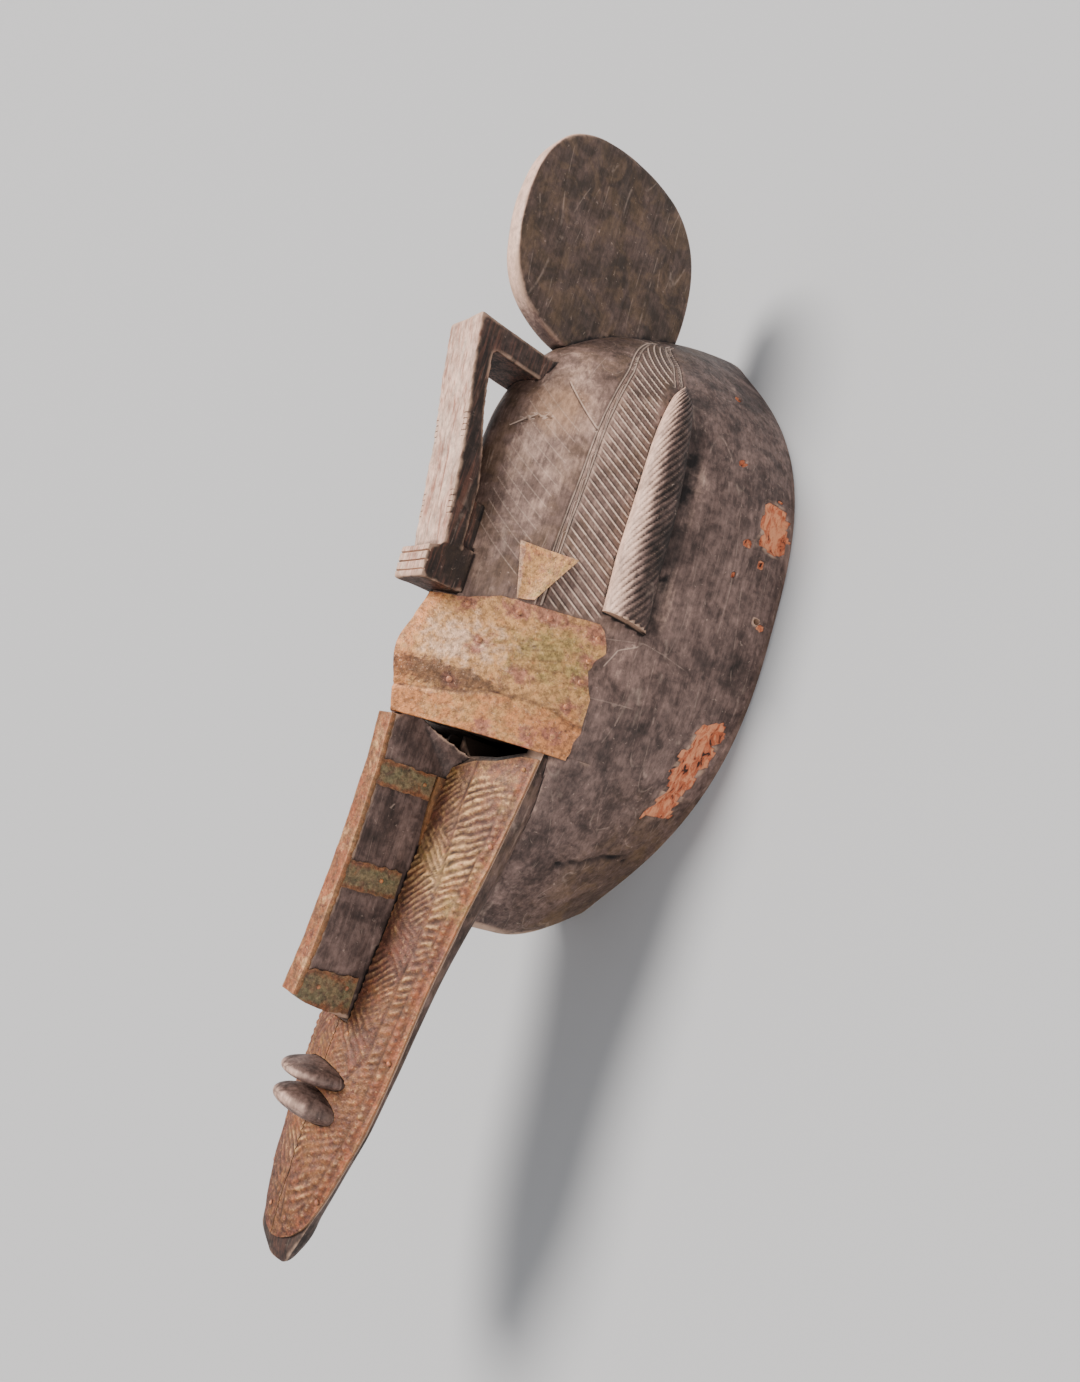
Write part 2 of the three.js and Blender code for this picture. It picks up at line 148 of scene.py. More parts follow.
def spots(x: Array | float, s: Array | float, z: Array | float) -> Array:
    """Returns points from their three coordinates, any of which may be the same for all."""
    return np.stack(np.broadcast_arrays(x, s, z), axis=-1).astype(float)


def turns(count: int) -> Array:
    """Returns angles evenly round a circle."""
    return np.linspace(0, 2 * math.pi, count, endpoint=False)


def spans(rows: Array, columns: Array) -> list[Array]:
    """Returns the grids of two values that vary down the rows and along the columns."""
    return np.meshgrid(rows, columns, indexing="ij")


def rough(points: Array, *layers: tuple[float, float, int]) -> Array:
    """Returns random lumps added up from layers of depth, size and seed."""
    return sum(depth * lumps(points, size, seed) for depth, size, seed in layers)


def off_line(points: Array, corners: Array) -> Array:
    """Returns how far points lie from a line through corners.

    Args:
        points: Places.
        corners: The corners, in order.

    Returns:
        The distance to the nearest run of the line.
    """
    away = []
    for start, end in zip(corners, corners[1:]):
        run = end - start
        share = np.clip(((points - start) @ run) / (run @ run), 0, 1)
        away.append(np.linalg.norm(points - start - share[..., None] * run, axis=-1))
    return np.min(away, axis=0)


def join_masks(parts: list[Masks]) -> Masks:
    """Joins the masks of several parts, one after another."""
    return {key: np.concatenate([part[key] for part in parts]) for key in parts[0]}


def lumps(points: Array, size: float, seed: int) -> Array:
    """Smooth random lumps.

    Args:
        points: Places in millimetres, with three coordinates last.
        size: Width of a lump in millimetres.
        seed: Picks another pattern.

    Returns:
        A value between -1 and 1 at each place.
    """
    cell = np.asarray(points, float) / size
    low = np.floor(cell).astype(np.int64)
    part = cell - low
    part = part * part * (3 - 2 * part)
    total = np.zeros(cell.shape[:-1])
    for corner in np.ndindex(2, 2, 2):
        spot = low + np.array(corner)
        mixed = spot[..., 0] * 73856093 ^ spot[..., 1] * 19349663 ^ spot[..., 2] * 83492791 ^ seed * 7919
        mixed = ((mixed ^ (mixed >> 13)) * 1274126177) & 0x7FFFFFFF
        weight = np.prod(np.where(np.array(corner) == 1, part, 1 - part), axis=-1)
        total += weight * ((mixed >> 8) % 10007 / 5003.0 - 1)
    return total


def unit(vectors: Array) -> Array:
    """Returns the vectors at length one."""
    return vectors / np.maximum(np.linalg.norm(vectors, axis=-1, keepdims=True), 1e-9)


def grid_normals(grid: Array) -> Array:
    """Returns the unit normals of a grid of points, rows crossed with columns."""
    return unit(np.cross(np.gradient(grid, axis=0), np.gradient(grid, axis=1)))


@dataclass
class Shell:
    """Points in x, s, z with faces over them, and masks that the materials read."""

    points: Array
    faces: list[tuple[int, ...]]
    masks: Masks = field(default_factory=dict)

    def build(self, name: str) -> Piece:
        """Makes the object, its faces turned outwards.

        Args:
            name: The piece's name.

        Returns:
            The object, at the origin, its place in its mesh.
        """
        mesh = bpy.data.meshes.new(name)
        placed = (np.asarray(self.points) - np.array([0, MIDDLE, 0])) * MM
        mesh.from_pydata(placed.tolist(), [], self.faces)
        piece = bpy.data.objects.new(name, mesh)
        for key, value in self.masks.items():
            set_mask(piece, key, value)
        mesh.validate()
        mesh.update()
        if signed_volume(mesh) < 0:
            mesh.flip_normals()
        bpy.context.scene.collection.objects.link(piece)
        return piece


def floats(items: bpy.types.bpy_prop_collection, key: str) -> Array:
    """Reads a property of three numbers.

    Args:
        items: A mesh's points or normals.
        key: The property's name.

    Returns:
        One row per item.
    """
    flat = np.empty(len(items) * 3, np.float32)
    items.foreach_get(key, flat)
    return flat.reshape(-1, 3).astype(float)


def coordinates(mesh: Mesh) -> Array:
    """Returns a mesh's points in metres."""
    return floats(mesh.vertices, "co")


def vertex_normals(mesh: Mesh) -> Array:
    """Returns the unit normals at a mesh's points."""
    return floats(mesh.vertex_normals, "vector")


def move_points(mesh: Mesh, points: Array) -> None:
    """Gives a mesh new places for its points, in metres."""
    mesh.vertices.foreach_set("co", points.astype(np.float32).ravel())
    mesh.update()


def signed_volume(mesh: Mesh) -> float:
    """Returns the volume inside a closed mesh, negative if it is inside out.

    Args:
        mesh: The mesh.

    Returns:
        The volume in cubic metres.
    """
    mesh.calc_loop_triangles()
    corners = np.empty(len(mesh.loop_triangles) * 3, np.int32)
    mesh.loop_triangles.foreach_get("vertices", corners)
    a, b, c = coordinates(mesh)[corners].reshape(-1, 3, 3).transpose(1, 0, 2)
    return float(np.einsum("ij,ij->i", a, np.cross(b, c)).sum() / 6)


def spread(masks: dict[str, Array | float], shape: tuple[int, ...]) -> Masks:
    """Returns masks over a whole grid, also those that are the same all over."""
    return {key: np.broadcast_to(value, shape) for key, value in masks.items()}


def tube(rings: Array, **masks: Array | float) -> Shell:
    """A closed solid over rings of points, with a fan over each end.

    Args:
        rings: Points as rings, points in a ring, coordinates.
        masks: Values over the same rings, or one for all.

    Returns:
        The closed shell.
    """
    count, around = rings.shape[:2]
    points = np.concatenate([rings.reshape(-1, 3), rings[[0, -1]].mean(axis=1)])
    faces = []
    for r in range(count - 1):
        for k in range(around):
            n = (k + 1) % around
            faces.append((r * around + k, r * around + n, (r + 1) * around + n, (r + 1) * around + k))
    first, last = count * around, count * around + 1
    for k in range(around):
        n = (k + 1) % around
        faces.append((n, k, first))
        faces.append(((count - 1) * around + k, (count - 1) * around + n, last))
    closed = {key: np.concatenate([value.ravel(), value[[0, -1]].mean(axis=1)])
              for key, value in spread(masks, rings.shape[:2]).items()}
    return Shell(points, faces, closed)


def sheet(outer: Array, inner: Array, **masks: Array | float) -> Shell:
    """A closed sheet between two grids of the same shape.

    Args:
        outer: The face that shows.
        inner: The face against the wood.
        masks: Values over the outer grid or one for all, also given to the inner one.

    Returns:
        The closed shell.
    """
    rows, columns = outer.shape[:2]
    size = rows * columns
    points = np.concatenate([outer.reshape(-1, 3), inner.reshape(-1, 3)])
    faces = []
    for r in range(rows - 1):
        for c in range(columns - 1):
            a, b = r * columns + c, (r + 1) * columns + c
            faces.append((a, a + 1, b + 1, b))
            faces.append((size + a, size + b, size + b + 1, size + a + 1))
    border = [*range(columns), *[r * columns + columns - 1 for r in range(1, rows)],
              *[(rows - 1) * columns + c for c in range(columns - 2, -1, -1)],
              *[r * columns for r in range(rows - 2, 0, -1)]]
    for a, b in zip(border, border[1:] + border[:1]):
        faces.append((b, a, size + a, size + b))
    doubled = {key: np.tile(value.ravel(), 2) for key, value in spread(masks, outer.shape[:2]).items()}
    return Shell(points, faces, doubled)


def slab(pairs: Pairs, half: float, middle: float = 0.0, upright: bool = False) -> Shell:
    """A flat outline, thickened evenly to both sides.

    Args:
        pairs: The outline in s and z, or in x and s where it is upright.
        half: Half the thickness.
        middle: The middle's place across the mask, or its height where it is upright.
        upright: True where it is thick upwards.

    Returns:
        The closed shell.
    """
    count = len(pairs)
    points = [(a, b, middle + end) if upright else (middle + end, a, b)
              for end in (-half, half) for a, b in pairs]
    faces = [tuple(range(count)), tuple(range(2 * count - 1, count - 1, -1))]
    faces += [(k, k + count, (k + 1) % count + count, (k + 1) % count) for k in range(count)]
    return Shell(np.array(points, float), faces)


def settle(piece: Piece) -> None:
    """Puts the outcome of a piece's modifiers into its mesh.

    Args:
        piece: The object.
    """
    graph = bpy.context.evaluated_depsgraph_get()
    made = bpy.data.meshes.new_from_object(piece.evaluated_get(graph))
    piece.modifiers.clear()
    old, piece.data = piece.data, made
    made.name = old.name
    bpy.data.meshes.remove(old)


def combine(base: Piece, other: Piece, how: Join) -> None:
    """Joins or cuts one closed piece with another, and removes the other.

    Args:
        base: The piece that stays.
        other: The piece that is joined to it or cut from it.
        how: Which of the two.
    """
    modifier = base.modifiers.new(how.name, "BOOLEAN")
    modifier.operation = how.value
    modifier.solver = "MANIFOLD"
    modifier.object = other
    settle(base)
    mesh = other.data
    bpy.data.objects.remove(other)
    bpy.data.meshes.remove(mesh)


def neighbour_mean(mesh: Mesh, values: Array) -> Array:
    """Returns, for each point of a mesh, the mean of a value over the points next to it.

    Args:
        mesh: The mesh.
        values: One value or row per point.

    Returns:
        The means, in the shape of the values.
    """
    ends = np.empty(len(mesh.edges) * 2, np.int32)
    mesh.edges.foreach_get("vertices", ends)
    a, b = ends.reshape(-1, 2).T
    total = np.zeros_like(values)
    np.add.at(total, a, values[b])
    np.add.at(total, b, values[a])
    count = np.bincount(ends, minlength=len(values)).astype(float)
    return total / np.maximum(count, 1).reshape(-1, *[1] * (values.ndim - 1))


def soften(piece: Piece, rounds: int) -> None:
    """Evens out a piece's surface, and gives back most of what it shrinks by.

    Args:
        piece: The object.
        rounds: How many times.
    """
    mesh = piece.data
    points = coordinates(mesh)
    for _ in range(rounds):
        points += 0.6 * (neighbour_mean(mesh, points) - points)
        points -= 0.55 * (neighbour_mean(mesh, points) - points)
    move_points(mesh, points)


def hew(piece: Piece, depth: float, size: float, seed: int) -> None:
    """Gives a piece the low uneven facets of hand-cut wood.

    Args:
        piece: The object.
        depth: How far the surface moves, in millimetres.
        size: Width of a lump, in millimetres.
        seed: Picks another pattern.
    """
    mesh = piece.data
    points = coordinates(mesh)
    move = rough(points / MM, (1, size, seed), (0.4, size / 3, seed + 1))
    move_points(mesh, points + vertex_normals(mesh) * (move * depth * MM)[:, None])


def set_mask(piece: Piece, key: str, value: Array | float) -> None:
    """Gives a piece a mask, the same all over or one value per point.

    Args:
        piece: The object.
        key: The mask's name.
        value: The value or values.
    """
    mesh = piece.data
    layer = mesh.attributes.get(key) or mesh.attributes.new(key, "FLOAT", "POINT")
    values = np.broadcast_to(np.asarray(value, np.float32), (len(mesh.vertices),))
    layer.data.foreach_set("value", np.ascontiguousarray(values))


def mark_edges(piece: Piece, strength: float) -> None:
    """Finds a piece's proud edges for wear, its hollows for dirt and painted shade, and its upward faces for
    dust and painted light.

    Args:
        piece: The object.
        strength: How strongly a bend counts.
    """
    mesh = piece.data
    points = coordinates(mesh) / MM
    mean, out = neighbour_mean(mesh, points), vertex_normals(mesh)
    spacing = np.sqrt(np.linalg.norm(neighbour_mean(mesh, points ** 2) - mean ** 2, axis=1))
    bend = np.einsum("ij,ij->i", points - mean, out) / (spacing + 0.3)
    bend *= spacing > CLOSEST_SPACING
    for _ in range(EDGE_ROUNDS):
        bend = 0.4 * bend + 0.6 * neighbour_mean(mesh, bend)
    set_mask(piece, "proud", np.clip(bend * 5 * strength - 0.12, 0, 1))
    set_mask(piece, "hollow", np.clip(-bend * 8, 0, 1))
    set_mask(piece, "up", np.clip(out[:, 2], 0, 1))


@dataclass
class Scratches:
    """Incised lines: samples of their paths, looked up from the points near them."""

    samples: list[tuple[Array, Array, float, float]] = field(default_factory=list)

    def add(self, path: Array, normals: Array, width: float, depth: float) -> None:
        """Adds a line: points a millimetre or less apart, normals there, half its width and its depth."""
        sides = unit(np.cross(np.gradient(path, axis=0), normals))
        self.samples += [(p, side, width, depth) for p, side in zip(path, sides)]

    def measure(self, points: Array, reach: float) -> tuple[Array, Array, Array]:
        """Looks each point up.

        Args:
            points: Places in millimetres.
            reach: How far from a line it counts.

        Returns:
            The signed distance across the nearest line, a mask that is 1 on it and 0 at the
            reach, and how deep the point lies in it.
        """
        tree = KDTree(len(self.samples))
        for i, sample in enumerate(self.samples):
            tree.insert(Vector(sample[0]), i)
        tree.balance()
        across = np.full(len(points), reach)
        near = np.zeros(len(points))
        depth = np.zeros(len(points))
        for i, point in enumerate(points):
            found = tree.find(Vector(point))
            if found[2] < reach:
                spot, side, width, deep = self.samples[found[1]]
                across[i] = float(np.dot(point - spot, side))
                near[i] = (1 - found[2] / reach) * min(1.0, deep / 0.3)
                depth[i] = deep * max(0.0, 1 - (found[2] / (width * 1.6)) ** 2)
        return across, near, depth


@dataclass
class Helmet:
    """The helmet: its rim, forehead and side walls, and the relief cut into them."""

    chin: float = 191.0
    top: float = 543.0
    half_width: float = 90.0
    fullness: float = 2.72
    end_radius: float = 11.0
    wall: float = 11.0
    roof_wall: float = 14.0
    gouge: float = 1.6
    brow: float = 268.5
    hollow_brow: float = 272.0
    level_from: float = 244.0
    level_top: tuple[float, float] = (70, 84)
    belly: float = 20.0
    belly_height: float = 52.0
    belly_fades: float = 290.0
    hatch_lean: float = 147.0
    hatch_pitch: float = 4.7
    hatch_depth: float = 0.5
    hatch_limit: float = 0.556
    fork: float = 474.0
    groove_depth: float = 1.1
    line_reach: float = 3.0
    forehead_height: Profile = Profile(
        (268, 151.5), (276, 154), (296, 160), (313, 155), (329, 150.5), (363, 149), (413, 149),
        (430, 147.5), (449, 142.8), (476, 129), (502, 100), (521, 65), (533, 36), (543, 4))
    cheek_height: Profile = Profile((191, 90), (213, 95), (268, 101))
    wall_out: Profile = Profile((268, 1.07), (333, 0.98), (476, 1), (543, 1))
    wall_up: Profile = Profile((268, 0.65), (333, 0.47), (413, 0.46), (521, 0.55))
    ridge_out: Profile = Profile((268, 0.55), (333, 0.29), (413, 0.36), (449, 0.42), (521, 0.5))
    ridge_up: Profile = Profile((268, 0.8), (333, 0.93), (413, 0.975), (449, 1), (476, 1), (521, 0.97))
    cheek_shares: tuple[float, ...] = (1.0, 0.9, 0.92, 1.0)
    line_a: Profile = Profile((333, 0.39), (370.4, 0.394), (420.2, 0.412), (471.4, 0.428), (507.5, 0.334))
    line_b: Profile = Profile((475.5, 0.589), (489.8, 0.554), (508.9, 0.42))
    cuts: tuple[tuple[float, float, Pairs], ...] = (
        (0.5, 0.07, ((327.6, 0.583), (331.3, 0.672), (329, 0.73), (326, 0.785))),
        (0.5, 0.3, ((452, 0.27), (431, 0.4))),
        (0.5, 0.3, ((423, 0.13), (429, 0.2), (430, 0.26))),
        (0.4, 0.07, ((296, 0.6), (298, 0.72))),
        (0.35, 0.06, ((372, 0.64), (322, 0.66), (290, 0.7))),
        (0.35, 0.06, ((392, 0.73), (350, 0.745), (332, 0.735))),
        (0.35, 0.1, ((315, 0.608), (324, 0.62), (329, 0.663))),
        (0.35, 0.05, ((300, 0.745), (284, 0.738), (270, 0.7))))
    faint_cuts: int = 14
    faint_from: float = 346.0
    faint_pitch: float = 6.2
    faint_lean: float = 22.0
    top_cuts: tuple[float, ...] = (507, 511.5, 516)
    crack_line: Pairs = ((229, 0.72), (232, 0.8), (236, 0.86), (234, 0.93))
    crack_depth: float = 1.6
    eroded_depths: tuple[float, float] = (0.2, 4.2)
    eroded_spot: tuple[float, float] = (415, 0.935)
    eroded_reach: float = 11.5
    eroded_run: Pairs = ((299, 0.935), (262, 0.915))
    eroded_half: float = 8.0
    chips: Triples = (
        (402.6, 0.856, 2.4), (445, 0.811, 2.1), (490, 0.8, 2.2), (382.7, 0.838, 1.4), (362.7, 0.955, 2.8))
    column_spans: tuple[tuple[float, float, int], ...] = (
        (-1, -0.66, 24), (-0.66, -0.3, 40), (-0.3, 0.25, 44), (0.25, 0.66, 76), (0.66, 1, 40))

    @property
    def half_length(self) -> float:
        """Half the length of the rim."""
        return (self.top - self.chin) / 2

    @property
    def middle(self) -> float:
        """The middle of the rim, along the mask."""
        return (self.top + self.chin) / 2

    def rim(self, s: Array, inset: float) -> Array:
        """Returns half the width of the rim, or of the hollow inset from it.

        Args:
            s: Places along the mask.
            inset: How far inside the rim.

        Returns:
            The half widths.
        """
        half = self.half_length - inset
        u = np.minimum(np.abs((s - self.middle) / half), 1)
        to_end = half * (1 - u)
        blunt = np.sqrt(2 * self.end_radius * to_end) * np.exp(-to_end / (1.4 * self.end_radius))
        return np.hypot((self.half_width - inset) * (1 - u ** self.fullness), blunt)

    def brow_wall(self, z: Array) -> Array:
        """Returns the share of the rim's width that the wall just above the brow has at each height.

        Args:
            z: The heights.

        Returns:
            The shares.
        """
        rim, wall, roof, ridge = self.shares(np.linspace(0, 0.7, 60))
        out = rim + self.wall_out(self.brow) * wall + self.ridge_out(self.brow) * roof
        up = self.wall_up(self.brow) * wall + self.ridge_up(self.brow) * roof + ridge
        return np.interp(z, float(self.forehead_height(self.brow)) * up, out)

    @staticmethod
    def shares(t: Array) -> tuple[Array, Array, Array, Array]:
        """Returns how strongly the rim, side wall, roof and ridge pull, from 0 at the rim to 1."""
        return (1 - t) ** 3, 3 * t * (1 - t) ** 2, 3 * t * t * (1 - t), t ** 3

    def point(self, s: Array | float, across: Array | float, inset: float = 0.0,
              roof_inset: float = 0.0) -> Array:
        """Points of the helmet.

        Args:
            s: Places along the mask.
            across: From -1 at the right rim over 0 at the ridge to 1.
            inset: How far inside the side walls.
            roof_inset: How far under the ridge.

        Returns:
            x, s and z, last.
        """
        s, across = np.broadcast_arrays(np.asarray(s, float), np.asarray(across, float))
        fore = s >= self.brow
        shares = (self.wall_out, self.wall_up, self.ridge_out, self.ridge_up)
        out_wall, up_wall, out_ridge, up_ridge = (
            np.where(fore, share(s), cheek) for share, cheek in zip(shares, self.cheek_shares))
        top = np.where(fore, self.forehead_height(s), self.cheek_height(s)) - roof_inset
        rim, wall, roof, ridge = self.shares(1 - np.abs(across))
        x = self.rim(s, inset) * (rim + out_wall * wall + out_ridge * roof)
        z = top * (up_wall * wall + up_ridge * roof + ridge)
        if inset == 0:
            level = smooth(s, self.level_from, self.brow - 1) * (1 - smooth(z, *self.level_top)) * (~fore)
            x = x + level * (self.rim(s, 0) * self.brow_wall(z) - x)
        fade = smooth(self.belly_fades - s, 0, self.belly_fades - self.chin)
        lean = self.belly * fade * np.sin(np.minimum(z / self.belly_height, 1) * math.pi / 2)
        return spots(np.sign(across) * x, s - lean, z)

    def normal(self, s: Array | float, across: Array | float) -> Array:
        """Returns the way out from the forehead's surface.

        Args:
            s: Places along the mask.
            across: Places across.

        Returns:
            The unit normals.
        """
        s, across = np.broadcast_arrays(np.asarray(s, float), np.asarray(across, float))
        back = np.maximum(s - 0.5, self.brow)
        along = self.point(s + 0.5, across) - self.point(back, across)
        aside = self.point(s, np.minimum(across + 0.02, 1)) - self.point(s, np.maximum(across - 0.02, -1))
        return unit(np.cross(aside, along))

    def surface(self, s: Array | float, across: Array | float) -> tuple[Array, Array]:
        """Returns points of the forehead and the way out from each."""
        return self.point(s, across), self.normal(s, across)

    def across_of(self, x: Array, s: Array) -> Array:
        """Returns the place across of points on the forehead's left half.

        Args:
            x: Their places out from the middle.
            s: Their places along the mask.

        Returns:
            The places across.
        """
        tries = np.linspace(0, 0.8, 81)
        found = [np.interp(a, self.point(b, tries)[:, 0], tries) for a, b in zip(x.ravel(), s.ravel())]
        return np.array(found).reshape(x.shape)

    def path(self, line: Pairs, side: float) -> tuple[Array, Array]:
        """A line drawn on the forehead.

        Args:
            line: Pairs of s and across along it.
            side: 1 for the left, -1 for the right.

        Returns:
            Its points and the surface's normals there.
        """
        corners = np.array(line, float)
        length = np.linalg.norm(np.diff(self.point(corners[:, 0], corners[:, 1]), axis=0), axis=1)
        along = np.concatenate([[0], np.cumsum(length)])
        steps = np.linspace(0, along[-1], max(3, int(along[-1] / 0.7)))
        s = np.interp(steps, along, corners[:, 0])
        across = side * np.interp(steps, along, corners[:, 1])
        return self.surface(s, across)

    def columns(self) -> Array:
        """Returns the places across, close together where the carving is fine."""
        parts = [np.linspace(a, b, n, endpoint=False) for a, b, n in self.column_spans]
        return np.concatenate([*parts, [1.0]])

    def erosion(self, points: Array) -> Array:
        """Returns where the left wall's rim has lost its skin: above 0 inside the two places.

        Args:
            points: Points of the outside.

        Returns:
            The depth inside a place, below 0 outside them.
        """
        uneven = 4.2 * lumps(points * [1, 1.4, 0.8], 8, 5) + 2.6 * lumps(points, 3.6, 6)
        gap = points - self.point(*self.eroded_spot)
        upper = self.eroded_reach - np.hypot(gap[..., 1] * 0.72, np.hypot(gap[..., 0], gap[..., 2]) * 1.05)
        upper += 4.0 * lumps(points * [0.5, 1.7, 0.5], 5, 9)
        run = np.array([self.point(*spot) for spot in self.eroded_run])
        lower = self.eroded_half - off_line(points, run)
        chips = [size - np.linalg.norm(points - self.point(s, across), axis=-1) + 0.2 * uneven
                 for s, across, size in self.chips]
        worn = np.maximum(np.maximum(upper, lower) + uneven, np.max(chips, axis=0))
        return np.where(points[..., 0] > 0, worn, -9.0)

    def crack(self, points: Array) -> Array:
        """Returns the short crack beside the chin, open a little at its middle."""
        corners = np.array([self.point(*spot) for spot in self.crack_line])
        return 1 - smooth(off_line(points, corners), 0.7, 2.4)

    def scratches(self) -> Scratches:
        """Returns the incised lines of the forehead."""
        lines = Scratches()
        for side in (1.0, -1.0):
            for shift in (-0.008, 0.01):
                drawn = [(s, float(self.line_a(s)) + shift) for s in np.linspace(336, 509, 40)]
                lines.add(*self.path(drawn, side), 0.55, 0.5)
                drawn = [(s, float(self.line_b(s)) + shift * 1.4) for s in np.linspace(474, 511, 16)]
                lines.add(*self.path(drawn, side), 0.6, 0.5)
            for s in self.top_cuts:
                lines.add(*self.path([(s - 3, 0.02), (s, 0.17), (s - 2, 0.33)], side), 0.5, 0.35)
            for k in range(self.faint_cuts):
                s, shift = self.faint_from + self.faint_pitch * k, 0.004 * k
                faint = [(s + self.faint_lean, 0.12 + shift), (s, 0.3 + shift)]
                lines.add(*self.path(faint, side), 0.35, 0.08)
            for half_width, depth, line in self.cuts:
                lines.add(*self.path(line, side), half_width, depth)
        return lines

    def outside(self) -> Shell:
        """Returns the outside with its relief, closed below along the rim's plane."""
        across = self.columns()
        low = np.linspace(self.chin + 0.6, self.brow - 0.01, 36)
        high = np.linspace(self.brow, self.top - 2.4, 178)
        end = self.top - np.array([1.7, 1.1, 0.6])
        rings, dressed = [], []
        for fore, places in enumerate((low, np.concatenate([high, end]))):
            s, a = spans(places, across)
            grid = self.point(s, a)
            out = self.normal(s, a) if fore else -grid_normals(grid)
            found = self.dress(grid, s, a, bool(fore))
            rings.append(grid + out * found.pop("move")[..., None])
            dressed.append(found)
        rings = np.concatenate(rings)
        rings[:, [0, -1], 2] = 0.0
        rings[..., 2] = np.maximum(rings[..., 2], 0.0)
        return tube(rings, **join_masks(dressed))

    def dress(self, grid: Array, s: Array, across: Array, fore: bool) -> Masks:
        """The relief of one part of the outside.

        Args:
            grid: Its points.
            s: Their places along the mask.
            across: Their places across.
            fore: True above the brow, where lines are cut.

        Returns:
            How far each point moves out, and the masks.
        """
        away = np.abs(across)
        to_rim = smooth(1 - away, 0.0, 0.03)
        ends = between(s, self.chin, self.chin + 6, self.top - 8, self.top)
        move = rough(grid, (0.5, 24, 1), (0.16, 8, 2)) * to_rim * ends
        worn = self.erosion(grid)
        raw = smooth(worn, -0.2, 0.5)
        pits = 1.1 * lumps(grid, 4.5, 7) + 0.8 * lumps(grid * [1, 0.35, 1], 2.4, 8)
        lost = np.clip(1.2 + 0.24 * np.clip(worn, 0, 8) + pits, *self.eroded_depths)
        move -= raw * lost * np.maximum(to_rim, 0.25)
        blank = np.zeros_like(move)
        found = dict.fromkeys(("lined", "hatch", "hatched", "inside", "red", "deep"), blank)
        found |= {"raw": raw, "line": blank + self.line_reach, "pale": 0.72 + 0.12 * lumps(grid, 30, 3)}
        if fore:
            move = self.dress_forehead(grid, s, away, move, found)
        else:
            found["warm"] = (1 - smooth(grid[..., 2], 15, 70)) * (1 - smooth(s, 215, 290)) * 1.1
            found["pale"] -= 0.2 * found["warm"]
            found["deep"] = self.crack(grid)
            move -= self.crack_depth * found["deep"]
        found["move"] = move
        return found

    def dress_forehead(self, grid: Array, s: Array, away: Array, move: Array, found: Masks) -> Array:
        """Cuts the lines, hatching and side grooves of the forehead.

        Args:
            grid: Its points.
            s: Their places along the mask.
            away: Their places across, never below 0.
            move: How far each point moves out without them.
            found: The masks, which are filled in.

        Returns:
            How far each point moves out.
        """
        covered = (1 - smooth(s, 328, 336)) * (1 - smooth(away, 0.6, 0.64))
        move = move * (1 - covered) + np.minimum(move, -0.05) * covered
        wanted = away < 0.82
        depth = np.zeros_like(move)
        found["line"], found["lined"] = found["line"].copy(), depth.copy()
        measured = self.scratches().measure(grid[wanted], self.line_reach)
        found["line"][wanted], found["lined"][wanted], depth[wanted] = measured
        start = smooth(away, self.line_a(s) + 0.006, self.line_a(s) + 0.03)
        limit = np.where(s > self.fork, self.line_b(s) - 0.012, self.hatch_limit)
        limit = np.minimum(limit, self.hatch_limit + smooth(s, 440, self.fork) * 0.04)
        found["hatched"] = start * (1 - smooth(away, limit - 0.02, limit)) * between(s, 334, 337, 503, 508)
        found["hatch"] = (s + self.hatch_lean * away) / self.hatch_pitch
        groove = np.abs(found["hatch"] % 1 - 0.5) * 2
        side_groove = between(away, 0.63, 0.66, 0.675, 0.71) * between(s, 334, 342, 440, 466)
        # Painted shadow: the forehead beside the crest bar is darker, as the bar's cast shadow.
        shadowed = smooth(s, 350, 380) * (1 - smooth(np.abs(grid[..., 0]), 8, 22)) * (s < 480)
        found["pale"] -= 0.1 * (1 - smooth(away, 0.56, 0.66)) + 0.12 * smooth(s, 440, 500) + 0.35 * shadowed
        found["warm"] = 0.5 * (1 - smooth(away, 0.56, 0.62))
        found["deep"] = side_groove
        cut = self.hatch_depth * found["hatched"] * smooth(groove, 0.45, 1.0)
        return move - depth - cut - self.groove_depth * side_groove

    def hollow(self) -> Shell:
        """Returns the hollow, gouged unevenly, to be cut from the outside."""
        turn = np.linspace(0, math.pi, 60)
        places = self.middle - (self.half_length - self.wall - 0.6) * np.cos(turn)
        step = int(np.searchsorted(places, self.brow))
        places = np.insert(places, step, [self.brow - 0.01, self.brow])
        s, a = spans(places, np.linspace(-1, 1, 65))
        grid = self.point(s, a, self.wall, self.roof_wall)
        gouge = self.gouge * np.abs(lumps(grid * [1, 0.55, 1], 13, 11)) * smooth(1 - np.abs(a), 0, 0.05)
        gouge *= between(s, self.chin + 12, self.chin + 30, self.top - 34, self.top - 14)
        grid += unit(grid - np.array([0, 0, 60]) - [0, 1, 0] * s[..., None]) * gouge[..., None]
        grid[..., 1] = np.where(s >= self.brow, np.maximum(grid[..., 1], self.hollow_brow), grid[..., 1])
        skirt = grid[:, [0, -1]] * [1, 1, 0] - [0, 0, 5]
        rings = np.concatenate([skirt[:, :1], grid, skirt[:, 1:]], axis=1)
        # The hollow's faces carry the inside mask, which is painted nearly black as shade.
        return tube(rings, inside=1.0)


